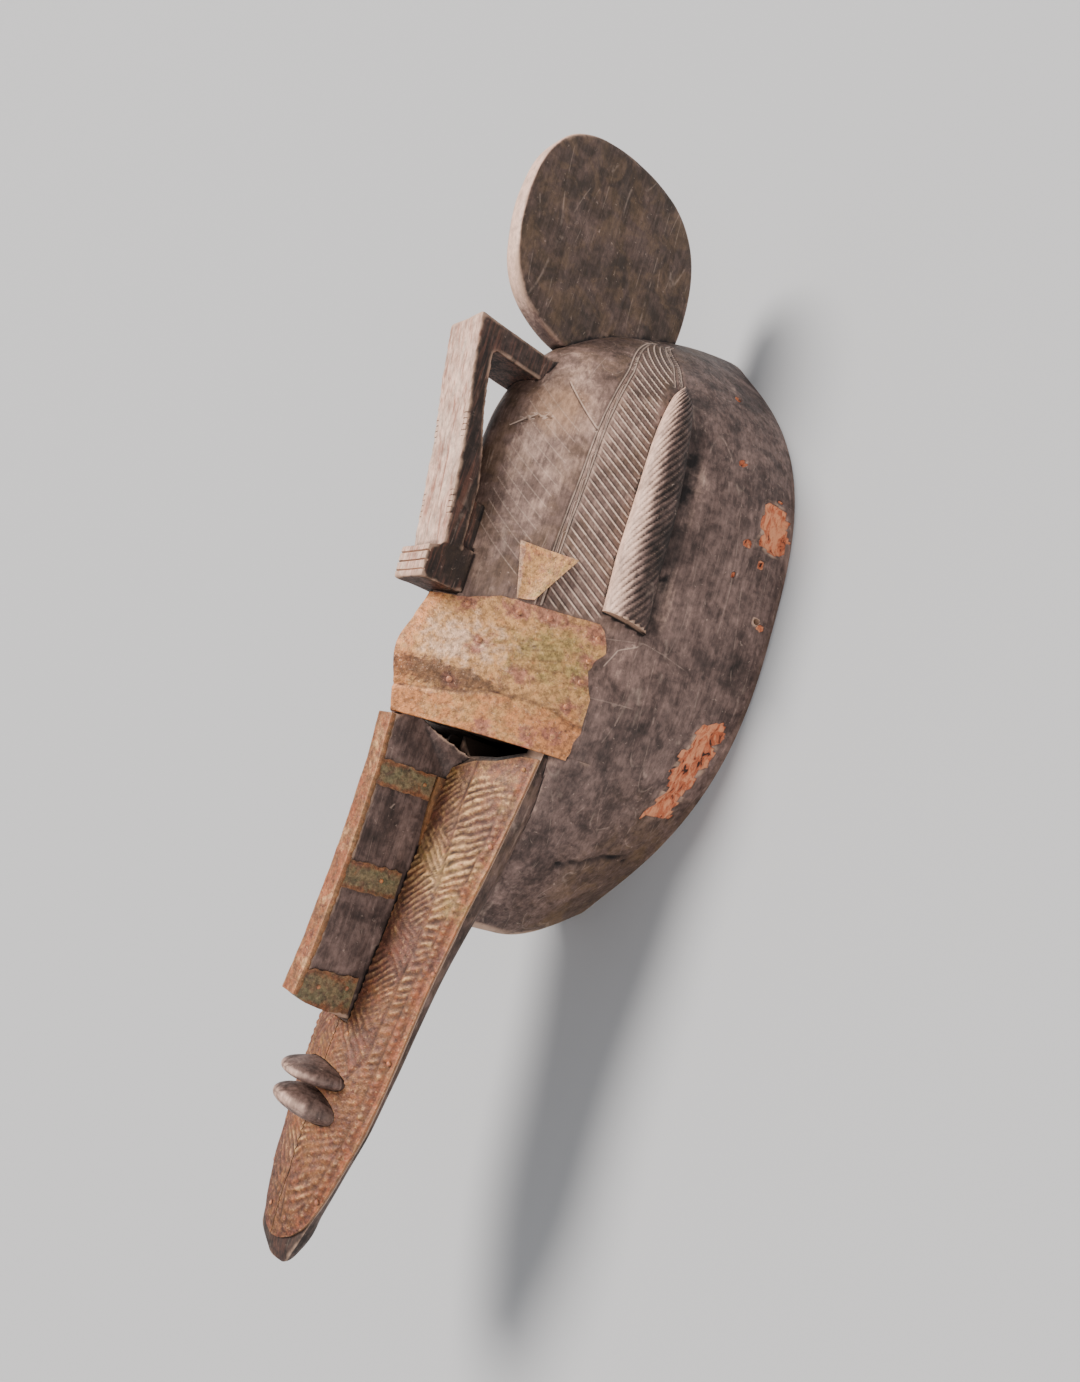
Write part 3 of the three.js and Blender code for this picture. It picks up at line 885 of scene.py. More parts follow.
@dataclass
class Snout:
    """The long crowned board below the eyes."""

    root: float = 275.0
    eye_line: float = 253.0
    edge_height: float = 96.5
    edge_rise: float = 0.108
    side: float = 1.0
    crown: float = 1.8
    columns: int = 27
    half_width: Profile = Profile(
        (4, 7.5), (6, 11.5), (10, 15.5), (17, 18.8), (28, 22.5), (40, 27.5), (55, 32), (75, 37),
        (103, 39.5), (133, 40.5), (175, 45), (200, 49), (235, 53), (275, 56))
    middle: Profile = Profile((4, 122), (14, 125), (40, 126), (88, 126), (118, 124), (173, 119),
                              (213, 115), (248, 112), (275, 110))
    depth: Profile = Profile((4, 3), (8, 8), (13, 12), (20, 13.5), (30, 11.5), (42, 9.5), (60, 9),
                             (110, 13), (150, 17), (200, 25), (275, 30))

    def edge(self, s: Array) -> Array:
        """Returns the height of the board's edge."""
        return np.minimum(self.edge_height + self.edge_rise * (self.eye_line - s), self.middle(s) - 2)

    def top(self, x: Array, s: Array) -> Array:
        """Returns the height of the board's crowned face."""
        u = np.minimum(np.abs(x) / self.half_width(s), 1)
        return self.middle(s) - (self.middle(s) - self.edge(s)) * u ** self.crown

    def board(self) -> Shell:
        """Returns the board as a closed solid, its back hewn."""
        places = np.concatenate([[4.2, 4.6, 5.4, 6.6, 8.2, 10, 12], np.linspace(14, self.root, 84)])
        rings = []
        for s in places:
            half, edge, depth = self.half_width(s), self.edge(s), self.depth(s)
            x = np.linspace(-half, half, self.columns)
            turn = np.linspace(0, math.pi, self.columns)
            face = spots(x, s, self.top(x, s))
            back = spots(half * 0.98 * np.cos(turn), s,
                         edge - self.side - (depth - self.side) * np.sin(turn))
            rings.append(np.concatenate([face, back]))
        rings = np.array(rings)
        centre = rings.mean(axis=1, keepdims=True)
        hewn = 0.45 * lumps(rings * [1, 0.6, 1], 11, 21) * smooth(rings[..., 1], 4, 9)
        hewn[:, :self.columns] = 0
        rings += unit(rings - centre) * (hewn - 0.1)[..., None] * (hewn != 0)[..., None]
        tip = 1 - smooth(rings[..., 1], 14, 40)
        return tube(rings, pale=0.5 - 0.4 * tip, warm=0.35 - 0.2 * tip, red=0.25 * tip, deep=0.6 * tip)


@dataclass
class Nose:
    """The tall thin blade of the nose with its widened root."""

    half_width: float = 4.9
    root: float = 276.0
    flare_low: float = 236.0
    lean: float = 0.4
    eye_flare: float = 16.0
    eye_low: float = 254.6
    voxel: float = 1.25
    front_edge: Pairs = (
        (115.5, 124), (117, 133), (121, 150), (124, 155.5), (150, 153), (195, 151), (239, 151),
        (262.6, 152.5))

    def outline(self) -> Pairs:
        """Returns the blade's outline in s and z."""
        return [(self.root, 100), (self.root, 145.5), (263.6, 147), *reversed(self.front_edge),
                (self.front_edge[0][0], 112)]

    def flare(self, grow: float = 0.0) -> Shell:
        """Returns the widened root, pushed out by grow.

        Args:
            grow: How far.

        Returns:
            The closed shell.
        """
        rings = []
        for start, half, high in ((self.flare_low, 5, 118), (246, 8.5, 124),
                                  (self.eye_low - 0.4, self.eye_flare + 1, 138)):
            low, slim = half + grow, self.half_width - 1 + grow
            section = np.array([(-low, 96), (-low, 110), (-slim, high), (slim, high), (low, 110), (low, 96)])
            s = start + grow + self.lean * (section[:, 1] - 110)
            rings.append(spots(section[:, 0], s, section[:, 1]))
        return tube(np.array(rings))

    def blade(self) -> Piece:
        """Returns the blade and root as one softened solid."""
        blade = slab(self.outline(), self.half_width).build("nose")
        combine(blade, self.flare().build("flare"), Join.UNION)
        return carve_fine(blade, self.voxel, 3, 0.3, 13, 31)


def carve_fine(piece: Piece, voxel: float, rounds: int, depth: float, size: float, seed: int) -> Piece:
    """Turns a rough solid into a fine one with soft edges and a hand-cut surface.

    Args:
        piece: The object.
        voxel: The size of its new faces, in millimetres.
        rounds: How much its edges soften.
        depth: Depth of the cutting marks.
        size: Their width.
        seed: Picks another pattern.

    Returns:
        The same object.
    """
    modifier = piece.modifiers.new("fine", "REMESH")
    modifier.mode = "VOXEL"
    modifier.voxel_size = voxel * MM
    settle(piece)
    soften(piece, rounds)
    hew(piece, depth, size, seed)
    return piece


@dataclass
class Lips:
    """Two flattened half rounds that spread apart towards their tips."""

    half_width: float = 19.5
    root: float = 122.0
    reach: float = 25.0
    buried: float = 113.0
    shapes: Triples = ((88.4, 5.8, -0.03), (73.0, 7.4, -0.17))

    def shell(self, which: int, grow: float = 0.0) -> Shell:
        """One lip.

        Args:
            which: 0 for the upper, 1 for the lower.
            grow: How far it is pushed out.

        Returns:
            The closed shell.
        """
        s, half, tilt = self.shapes[which]
        lat = np.linspace(-1, 1, 34)[1:-1] * math.pi / 2
        turn = turns(56)
        up, around = spans(lat, turn)
        x = (self.half_width + grow) * np.cos(up) * np.cos(around)
        y = (half + grow) * np.cos(up) * np.sin(around)
        z = (self.reach + grow) * np.sin(up)
        if grow == 0:
            cut = smooth(np.abs((np.abs(x) * 0.8 + z * 0.55 + 60) % 7.5 - 3.75), 3.0, 3.6)
            y = y * (1 - 0.09 * cut)
        points = spots(x, y * math.cos(tilt) - z * math.sin(tilt) + s,
                       y * math.sin(tilt) + z * math.cos(tilt) + self.root)
        points[..., 2] = np.maximum(points[..., 2], self.buried - grow)
        move = 0.35 * lumps(points, 7, 41) * (points[..., 2] > self.buried + 1) * (grow == 0)
        points += unit(points - np.array([0, s, self.root])) * move[..., None]
        return tube(points, pale=0.74, deep=0.6 * cut if grow == 0 else 0.0)


@dataclass
class Disc:
    """The flat finial at the top of the head."""

    radius: float = 65.0
    thickness: float = 13.0
    s: float = 543.2
    height: float = 112.0
    squareness: float = 2.2
    turn: float = 47.0

    def shell(self) -> Shell:
        """Returns the disc with its hand-cut faces and rounded edge."""
        around = turns(132)
        edge = self.radius + self.squareness * np.cos(4 * (around - math.radians(self.turn)))
        half = self.thickness / 2
        inner = [(-half, f) for f in np.linspace(0.06, 0.94, 24)]
        rim = [(-half + 0.25, 0.965), (-half + 0.9, 0.985), (-half + 2.2, 0.999), (-1.6, 1.0), (1.6, 1.0),
               (half - 2.2, 0.999), (half - 0.9, 0.985), (half - 0.25, 0.965)]
        rings = []
        for x, factor in [*inner, *rim, *[(-x, f) for x, f in reversed(inner)]]:
            rings.append(spots(x, self.s + edge * factor * np.cos(around),
                               self.height + edge * factor * np.sin(around)))
        rings = np.array(rings)
        face = smooth(np.abs(rings[..., 0]), half - 1.5, half)
        move = 0.35 * lumps(rings * [0, 0.4, 1], 9, 51) + 0.2 * lumps(rings * [0, 0.3, 1], 4, 52)
        rings[..., 0] += np.sign(rings[..., 0]) * (move - 0.3) * face
        radial = rings - np.array([0, self.s, self.height])
        radial[..., 0] = 0
        rings += unit(radial) * ((0.7 * lumps(rings, 18, 53) - 0.7) * (1 - face))[..., None]
        # The rim is paler than the faces: partly wear and partly painted light.
        return tube(rings, pale=0.27 + 0.85 * (1 - face), warm=0.6 * face)


@dataclass
class CrestBar:
    """The bar before the forehead: its arm, strap, thinner web and grooved foot."""

    half_width: float = 15.4
    top: float = 466.0
    bottom: float = 350.0
    front: float = 181.5
    arm: float = 14.5
    arm_foot: float = 118.0
    foot_half_width: float = 13.5
    foot_low: float = 329.0
    foot_high: float = 346.0
    foot_front: float = 168.0
    foot_grooves: int = 3
    web_half_width: float = 11.0
    web_top: float = 380.0
    voxel: float = 1.3

    def solid(self) -> Piece:
        """Returns the bar as one softened solid with its notches."""
        end = self.top - self.arm
        strap = [(self.top, self.arm_foot), (self.top, self.front), (437, 177), (418, 172.5), (396, 168.5),
                 (self.bottom, 162), (self.bottom, 150), (384, 152), (398, 155.5), (418, 162),
                 (437, 166.5), (end, 169), (end, self.arm_foot)]
        web = [(self.foot_low, 140), (self.foot_low, 152), (self.bottom, 158), (self.web_top, 156),
               (self.web_top - 3, 149), (self.web_top - 2, 138)]
        foot = [(self.foot_low + 1, 142), (self.foot_low, self.foot_front - 0.5),
                (self.foot_high, self.foot_front), (self.foot_high + 2, 159),
                (self.foot_high + 6, 152), (self.foot_high + 6, 142)]
        bar = slab(strap, self.half_width - 0.2).build("bar")
        combine(bar, slab(web, self.web_half_width).build("web"), Join.UNION)
        combine(bar, slab(foot, self.foot_half_width).build("foot"), Join.UNION)
        carve_fine(bar, self.voxel, 2, 0.3, 14, 61)
        for cut in self.cuts():
            combine(bar, cut.build("cut"), Join.CUT)
        return bar

    def cuts(self) -> list[Shell]:
        """Returns the grooves of the foot and the small notches of the strap's front edges."""
        found = []
        for k in range(self.foot_grooves):
            s = self.foot_low + (k + 0.75) * (self.foot_high - self.foot_low) / (self.foot_grooves + 0.5)
            z = self.foot_front
            found.append(slab([(s - 1, z + 1.2), (s, z - 1.7), (s + 1, z + 1.2)], self.foot_half_width + 1))
        for low, front in ((364, 163.8), (403, 169.8)):
            for k in range(5):
                s, z = low + 2.9 * k, front + 0.16 * 2.9 * k
                for side in (-1, 1):
                    notch = [(s - 0.5, z + 1.6), (s, z - 1.2), (s + 0.5, z + 1.6)]
                    found.append(slab(notch, 3.4, side * self.half_width))
        return found


@dataclass
class Rope:
    """A twisted half round where the forehead turns into a side wall."""

    helmet: Helmet
    low: float = 338.0
    high: float = 474.0
    spread: float = 0.057
    rise: float = 10.5
    slant: float = 2.5
    strand: float = 4.7
    twist: float = 3.1
    groove: float = 0.8
    sink: float = 5.0
    around: int = 38
    rows: int = 176
    across: Profile = Profile((338, 0.606), (376, 0.596), (424, 0.598), (474, 0.61))
    growth: Profile = Profile((338, 1), (390, 0.95), (435, 0.8), (462, 0.55), (474, 0.08))

    def shell(self, side: int) -> Shell:
        """One rope.

        Args:
            side: 1 for the left, -1 for the right.

        Returns:
            The closed shell.
        """
        middles = np.linspace(self.low, self.high, self.rows)
        turn = np.linspace(0, math.pi, self.around + 1)
        middle, bend = spans(middles, turn)
        growth = self.growth(middle)
        s = middle + self.slant * np.cos(bend)
        across = side * (self.across(s) - self.spread * growth * np.cos(bend))
        phase = (s / self.strand - self.twist * bend) % 1
        groove = smooth(np.abs(phase - 0.5) * 2, 0.5, 1.0) * smooth(bend, 0.3, 0.9)
        steep = np.sin(bend) ** np.where(bend > math.pi / 2, 0.55, 1.0)
        lift = self.rise * growth * steep
        lift -= self.groove * groove * np.sin(bend) * smooth(growth, 0.1, 0.5)
        face, out = self.helmet.surface(s, across)
        foot, foot_out = self.helmet.surface(middles, side * self.across(middles))
        root = foot - self.sink * foot_out
        points = np.concatenate([face + out * lift[..., None], root[:, None]], axis=1)
        sunk = np.zeros((self.rows, 1))
        # Painted light and shade: the inner side is paler, the outer side darker, and the outer foot darkest
        # as a painted undercut shadow; the grooves between strands are dark too.
        lit = np.concatenate([1.0 - 0.75 * smooth(bend, 1.0, 1.9), sunk], axis=1)
        dark = np.maximum(groove * np.sin(bend) * 1.1, smooth(bend, 2.4, 2.9))
        return tube(points, pale=lit, deep=np.concatenate([dark, sunk], axis=1), warm=0.15 * lit)


@dataclass
class CarvedBody:
    """All that is cut from the one block of wood."""

    helmet: Helmet
    snout: Snout
    nose: Nose = field(default_factory=Nose)
    lips: Lips = field(default_factory=Lips)
    lid: float = 266.6
    eye_low: Pairs = ((5.6, 264.6), (16, 254.6), (33, 257), (47, 262.5))
    slot: Pairs = ((80, 249), (110, 254.6), (137, 265.4))
    slot_end: float = 277.0
    dark_half: float = 46.0
    slot_half: float = 6.0
    hole: tuple[float, float] = (364.9, 0.939)
    hole_radius: float = 1.7

    def eye(self, side: float) -> Shell:
        """Returns one eye slit.

        Args:
            side: 1 for the left, -1 for the right.

        Returns:
            The closed shell to cut away.
        """
        pairs = [*self.eye_low, (self.eye_low[-1][0], self.lid), (self.eye_low[0][0], self.lid)]
        cut = slab([(side * x, s) for x, s in pairs], 29, 89, upright=True)
        # The slit's faces carry the inside mask, which is painted nearly black as shade.
        cut.masks["inside"] = np.ones(len(cut.points))
        return cut

    def tie_hole(self) -> Shell:
        """Returns the small hole for a cord through the left wall."""
        turn = turns(14)
        spot = self.helmet.point(*self.hole)
        rings = [spots(spot[0] + x, spot[1] + self.hole_radius * np.cos(turn),
                       spot[2] + self.hole_radius * 1.25 * np.sin(turn)) for x in (-18, 8)]
        return tube(np.array(rings))

    def build(self) -> Piece:
        """Returns the whole carving as one closed mesh."""
        body = self.helmet.outside().build("carving")
        hollow = self.helmet.hollow()
        steps = [(self.snout.board().build("board"), Join.UNION), (hollow.build("hollow"), Join.CUT),
                 (self.eye(1).build("eye"), Join.CUT), (self.eye(-1).build("eye"), Join.CUT)]
        nose = self.nose.blade()
        set_mask(nose, "pale", 0.66)
        steps.append((nose, Join.UNION))
        (low, _), _, (high, _) = self.slot
        root = [*((s, z) for z, s in self.slot), (self.slot_end, high), (self.slot_end, low)]
        steps.append((slab(root, self.slot_half).build("root"), Join.CUT))
        crest = CrestBar().solid()
        # Painted light and shade: where the bar faces up it is paler and redder, and its sides are darker.
        facing = smooth(vertex_normals(crest.data)[:, 2], 0.25, 0.75)
        for key, value in (("pale", 0.16 + 0.8 * facing), ("warm", 0.2), ("red", 0.4 + 0.4 * facing),
                           ("deep", 0.4 - 0.4 * facing)):
            set_mask(crest, key, value)
        combine(crest, Disc().shell().build("disc"), Join.UNION)
        combine(crest, hollow.build("hollow"), Join.CUT)
        steps.append((crest, Join.UNION))
        steps += [(self.lips.shell(k).build("lip"), Join.UNION) for k in (0, 1)]
        steps += [(Rope(self.helmet).shell(side).build("rope"), Join.UNION) for side in (1, -1)]
        steps.append((self.tie_hole().build("hole"), Join.CUT))
        for other, how in steps:
            before = signed_volume(body.data)
            name = other.name
            combine(body, other, how)
            LOG.info("%s: %.0f cm3 to %.0f cm3", name, before * 1e6, signed_volume(body.data) * 1e6)
        self.shade_slits(body)
        return body

    def shade_slits(self, body: Piece) -> None:
        """Marks what lies deep in the eye slits as inside, which the wood paints nearly black as shade.

        Args:
            body: The carving.
        """
        x, s, z = (coordinates(body.data) / MM + np.array([0, MIDDLE, 0])).T
        away, near = np.abs(x), 0.1
        (low, _), _, (high, _) = self.slot
        deep = (away < self.dark_half) & (s > 256) & (s < 275) & (z < 109) & (z > 50)
        slit = (s > read(self.eye_low, away) - near) & (s < self.lid + near) & (z < 119)
        deep |= (away < self.eye_low[-1][0] + near) & slit
        slit = (s > read(self.slot, z) - 0.4) & (s < self.slot_end + 0.4) & (z > low - 1) & (z < high + 0.4)
        deep |= (away < self.slot_half + 0.15) & slit
        values = np.empty(len(x), np.float32)
        body.data.attributes["inside"].data.foreach_get("value", values)
        set_mask(body, "inside", np.maximum(values, deep))


def gather(shells: list[Shell]) -> Shell:
    """Puts several closed shells into one.

    Args:
        shells: The shells, all with the same masks.

    Returns:
        One shell.
    """
    faces, start = [], 0
    for shell in shells:
        faces += [tuple(start + k for k in face) for face in shell.faces]
        start += len(shell.points)
    points = np.concatenate([shell.points for shell in shells])
    return Shell(points, faces, join_masks([shell.masks for shell in shells]))


@dataclass
class Metal:
    """What all the pieces of sheet metal share."""

    gap: float = 0.3
    thickness: float = 0.9

    @property
    def face(self) -> float:
        """How far the face that shows lies from the wood."""
        return self.gap + self.thickness


@dataclass
class BrowSheet(Metal):
    """The sheet over the brow, turned in along the upper edge of the eyes."""

    helmet: Helmet = field(default_factory=Helmet)
    sides: Pairs = (
        (268.5, 0.61), (279, 0.623), (295.5, 0.615), (308.5, 0.576), (320, 0.599), (335, 0.56))
    top: Pairs = ((0, 327), (15, 328.3), (29, 333.5), (80, 334.5))
    crease: Profile = Profile((0, 277), (0.222, 280.6), (0.371, 284.7), (0.492, 285.2), (0.6, 281))
    nails: Pairs = (
        (327.5, 0.347), (329.0, 0.431), (326.1, 0.563), (288.6, 0.564), (271.9, 0.475), (274.6, 0.549),
        (307.7, 0.275), (325.0, 0.186), (285.7, 0.209), (313.5, 0.566), (302.0, 0.575), (270.5, 0.33))
    roll: Pairs = ((2.0, 2.4), (2.0, 1.0), (1.6, 0.35), (0.8, 0.05))
    step: float = 0.5
    crease_depth: float = 0.45
    wrinkle: float = 0.3
    nail_dent: float = 0.25
    lowest: float = -0.55

    def shell(self) -> Shell:
        """Returns the sheet with its crease, dents and turned-in edge."""
        u = np.linspace(-1, 1, 171)
        x = self.helmet.point(330.0, u * 0.58)[:, 0]
        end = read(self.top, np.abs(x)) - 0.4 + 0.5 * lumps(spots(x, x, x), 5, 3)
        v = np.linspace(0, 1, 74)[:, None]
        s = self.helmet.brow + (end - self.helmet.brow)[None] * v
        wobble = 0.006 * lumps(spots(s, 0, np.sign(u) * 40), 5, 4) - 0.004
        across = u * (read(self.sides, s) + wobble)
        grid, out = self.helmet.surface(s, across)
        away = np.abs(across)
        step = s - self.crease(away)
        move = self.step * (1 - smooth(step, -0.6, 0.5)) - self.crease_depth * bell(step, 0.9, 0.9)
        move += 0.38 * lumps(grid, 17, 71) + 0.22 * lumps(grid * [1, 1.6, 1], 6, 72)
        wrinkle = between(away, 0.3, 0.4, 0.5, 0.58) * between(s, 292, 300, 316, 322)
        move += self.wrinkle * wrinkle * np.sin((s - grid[..., 0] * 0.55) / 0.95)
        for place, spot in self.nails:
            near = np.linalg.norm(np.abs(grid) - self.helmet.point(place, spot), axis=-1)
            move -= self.nail_dent * bell(near, 2.6, 1.2)
        face = grid + out * (self.face + np.maximum(move, self.lowest))[..., None]
        back = grid + out * self.gap
        drop = np.array([0, 1, 0])
        rolls = [face[:1] - drop * forth - out[:1] * down for forth, down in self.roll]
        linings = [face[:1] - drop * max(forth - self.thickness, 0.0) - out[:1] * (down + 0.6)
                   for forth, down in self.roll[:-1]]
        linings.append(back[:1] - drop * 0.3)
        deep = 0.9 * bell(step, 0.6, 0.7) * smooth(away, 0.16, 0.22)
        masks = {"deep": deep, **self.stains(s, away, step)}
        edge = {key: np.repeat(value[:1], len(self.roll), axis=0) for key, value in masks.items()}
        return sheet(np.concatenate([*rolls, face]), np.concatenate([*linings, back]),
                     **join_masks([edge, masks]))

    def stains(self, s: Array, away: Array, step: Array) -> Masks:
        """Where the sheet is dusty, green, rusty, purple or dark, the band above the crease partly as painted
        shade.

        Args:
            s: Places along the mask.
            away: Places across, never below 0.
            step: How far above the crease.

        Returns:
            The masks.
        """
        rings = [bell(s, place, 4) * bell(away, spot, 0.035)
                 for place, spot in (*self.nails, (296.5, 0.42), (303.0, 0.27))]
        below = 1 - smooth(step, -1.5, 1.0)
        corner = smooth(away, 0.46, 0.56) * (1 - smooth(s, 276, 292))
        return {
            "pale": 0.1 + 0.5 * bell(s, 304, 14) * bell(away, 0.21, 0.17) + 0.1 * below,
            "olive": 0.1 + 0.6 * bell(s, 312, 16) * bell(away, 0.48, 0.14),
            "rust": np.clip(0.59 + 0.36 * below + 0.45 * corner - 0.45 * smooth(away, 0.03, 0.14), 0, 1),
            "purple": np.clip(0.12 + 0.6 * np.max(rings, axis=0) + 0.3 * smooth(s, 320, 332), 0, 1),
            # The dark band just above the crease is partly painted shade of the hollow there.
            "dark": 0.95 * bell(s, 287, 6.5) * bell(away, 0.18, 0.22) + 0.3 * corner}


@dataclass
class ForeheadPlate(Metal):
    """The small four-cornered plate, lifted along its lower outer edge."""

    helmet: Helmet = field(default_factory=Helmet)
    corners: Pairs = ((33.5, 334.5), (29.5, 363.5), (49.5, 360.5), (39.5, 335.3))
    lift: float = 3.4

    def shell(self) -> Shell:
        """Returns the plate."""
        u, v = spans(np.linspace(0, 1, 34), np.linspace(0, 1, 40))
        u, v = u[..., None], v[..., None]
        low_in, high_in, high_out, low_out = np.array(self.corners)
        flat = (1 - v) * ((1 - u) * low_in + u * low_out) + v * ((1 - u) * high_in + u * high_out)
        x, s = flat[..., 0], flat[..., 1]
        across = self.helmet.across_of(x, s)
        grid, out = self.helmet.surface(s, across)
        raised = self.lift * smooth(u[..., 0], 0.3, 1.05) ** 1.5 * (0.75 + 0.25 * v[..., 0])
        raised += 0.25 * (lumps(grid, 7, 81) + 1) * 0.6
        # The inner edge is paler: a painted highlight.
        return sheet(grid + out * (self.face + raised)[..., None],
                     grid + out * (self.gap + raised + 0.25)[..., None],
                     pale=0.7 * (1 - smooth(u[..., 0], 0.02, 0.2)), olive=0.45 * u[..., 0],
                     rust=0.3 * v[..., 0], purple=0.3)


@dataclass
class CheekSheet(Metal):
    """One embossed sheet over the snout, from under the eye to the tip."""

    side: int = 1
    snout: Snout = field(default_factory=Snout)
    nose: Nose = field(default_factory=Nose)
    lips: Lips = field(default_factory=Lips)
    seam: float = 0.35
    low: float = 13.6
    beside: float = 6.8
    nose_end: float = 114.1
    top: Pairs = ((0, 244), (6.8, 246), (12, 248.6), (21.5, 252.6), (34, 255), (46, 260), (53.5, 260.5))
    spine: Pairs = (
        (14, 6), (40, 0.5), (61, -3), (80, 12), (104, 25.8), (155, 27.5), (184, 27.9), (209, 25.7),
        (231, 23.4), (245, 23.4))
    tip: Pairs = ((13.6, 1.2), (14.8, 7.5), (18.6, 14.5), (23.5, 19.6), (28, 22.2))
    tongue: Pairs = ((240, 111.6), (205, 114.9), (205, 116.5), (217, 117.9), (228, 118.4), (240, 118))
    out_slope: float = 0.52
    in_slope: float = 0.85
    out_pitch: float = 4.3
    in_pitch: float = 4.0
    leaf_length: float = 7.5
    bead_inset: float = 4.7
    bead_pitch: float = 3.9
    stroke: float = 0.85
    bead: float = 1.1
    line: float = 0.35
    spine_depth: float = 0.55
    lowest: float = -0.6
    end: float = 252.0
    tongue_half: float = 0.8
    tongue_out: float = 6.05

    def edge(self, s: Array) -> Array:
        """Returns the sheet's outer edge."""
        return np.where(s < self.tip[-1][0], read(self.tip, s), self.snout.half_width(s) - 0.3)

    def relief(self, x: Array, s: Array) -> tuple[Array, Masks]:
        """The embossed herringbone and beading.

        Args:
            x: Places out from the middle.
            s: Places along the mask.

        Returns:
            How far the sheet stands up, and its stains.
        """
        places = spots(x * self.side, s, 0)
        from_spine = x - read(self.spine, s) + 0.9 * lumps(places, 14, 91)
        inset = self.edge(s) - x
        wander = rough(places, (1.5, 13, 92), (0.8, 6, 93))
        outer = (s + wander - self.out_slope * from_spine) / self.out_pitch
        leaf = np.sign(np.sin((s + 1.6 * wander) / self.leaf_length + 0.1 * from_spine))
        inner = (s + wander + self.in_slope * leaf * from_spine) / self.in_pitch
        wave = np.where(from_spine > 0, outer, inner)
        crest = 0.5 + 0.5 * np.cos(2 * math.pi * wave)
        near_lips = bell(s, 84, 17) * bell(x, 0, 19)
        pressed = smooth(np.abs(from_spine), 0.7, 2.2) * smooth(inset, 6.6, 8.4)
        pressed *= between(s, 16, 24, 240, 249) * (1 - 0.85 * smooth(near_lips, 0.3, 0.8))
        worn = np.clip(0.42 + 0.5 * smooth(s, 70, 160) + 0.55 * lumps(places, 13, 94), 0.12, 1.2)
        worn *= np.where(from_spine > 0, 1.0, 0.85)
        move = self.stroke * (crest ** 1.3 - 0.5) * pressed * worn
        spine_cut = bell(from_spine, 0, 0.75) * smooth(s, 16, 24) * (1 - smooth(near_lips, 0.2, 0.6))
        row = (s % self.bead_pitch) / self.bead_pitch - 0.5
        bead = bell(inset, self.bead_inset, 1.25) * (0.5 + 0.5 * np.cos(2 * math.pi * row))
        bead *= between(s, 24, 32, 240, 250)
        lines = (bell(inset, 7.1, 0.55) + 0.8 * bell(inset, 2.3, 0.5)) * smooth(s, 24, 32)
        move += self.bead * bead * (0.5 + 0.5 * worn) - self.line * lines - self.spine_depth * spine_cut
        move += rough(places, (0.35, 13, 95), (0.14, 4, 96))
        cut = 0.6 * lines + 0.95 * (1 - crest) ** 1.5 * pressed * np.maximum(worn, 0.5)
        cut += 0.6 * bell(inset, self.bead_inset, 1.9) * (1 - bead) * between(s, 24, 32, 236, 248)
        cloud = 0.5 + 0.5 * lumps(places, 22, 97)
        high = smooth(s, 130, 215)
        masks = {
            "deep": np.clip(spine_cut * 0.9 + cut, 0, 1),
            "pale": np.clip(0.02 + 0.22 * high + 0.5 * crest * pressed * worn + 0.45 * bead, 0, 1),
            "olive": 0.15 + 0.45 * high * cloud,
            "rust": np.clip(0.3 - 0.12 * high + 0.25 * (1 - smooth(inset, 2, 9)), 0, 1),
            "purple": np.clip(0.55 * (1 - cloud) + np.where(from_spine > 0, 0.1, 0.25), 0, 1),
            "dark": 0.35 * (1 - smooth(s, 14, 60)) + 0.25 * (1 - high) * (1 - cloud)}
        return np.maximum(move, self.lowest), masks

    def build(self, name: str) -> Piece:
        """Returns the sheet, let in round the nose and lips.

        Args:
            name: The piece's name.

        Returns:
            The object.
        """
        u, v = spans(np.linspace(0, 1, 50), np.linspace(0, 1, 250))
        s = self.low + v * (self.end - self.low)
        x = self.seam + u * (self.edge(s) - self.seam)
        s = self.low + v * (read(self.top, x) - self.low)
        x = self.seam + u * (self.edge(s) - self.seam)
        move, masks = self.relief(x, s)
        move *= smooth(np.minimum(v, 1 - v), 0, 0.01) * 0.7 + 0.3
        z = self.snout.top(x, s)
        face = spots(x * self.side, s, z + self.face + move)
        piece = sheet(face, spots(x * self.side, s, z + self.gap), **masks).build(name)
        block = slab([(self.nose_end, 80), (300, 80), (300, 190), (self.nose_end, 190)], self.beside)
        combine(piece, block.build("block"), Join.CUT)
        turned = slab(self.tongue, self.tongue_half, self.side * self.tongue_out)
        combine(piece, turned.build("turned"), Join.UNION)
        for other in (self.nose.flare(self.gap), self.lips.shell(0, self.gap), self.lips.shell(1, self.gap)):
            combine(piece, other.build("other"), Join.CUT)
        return piece


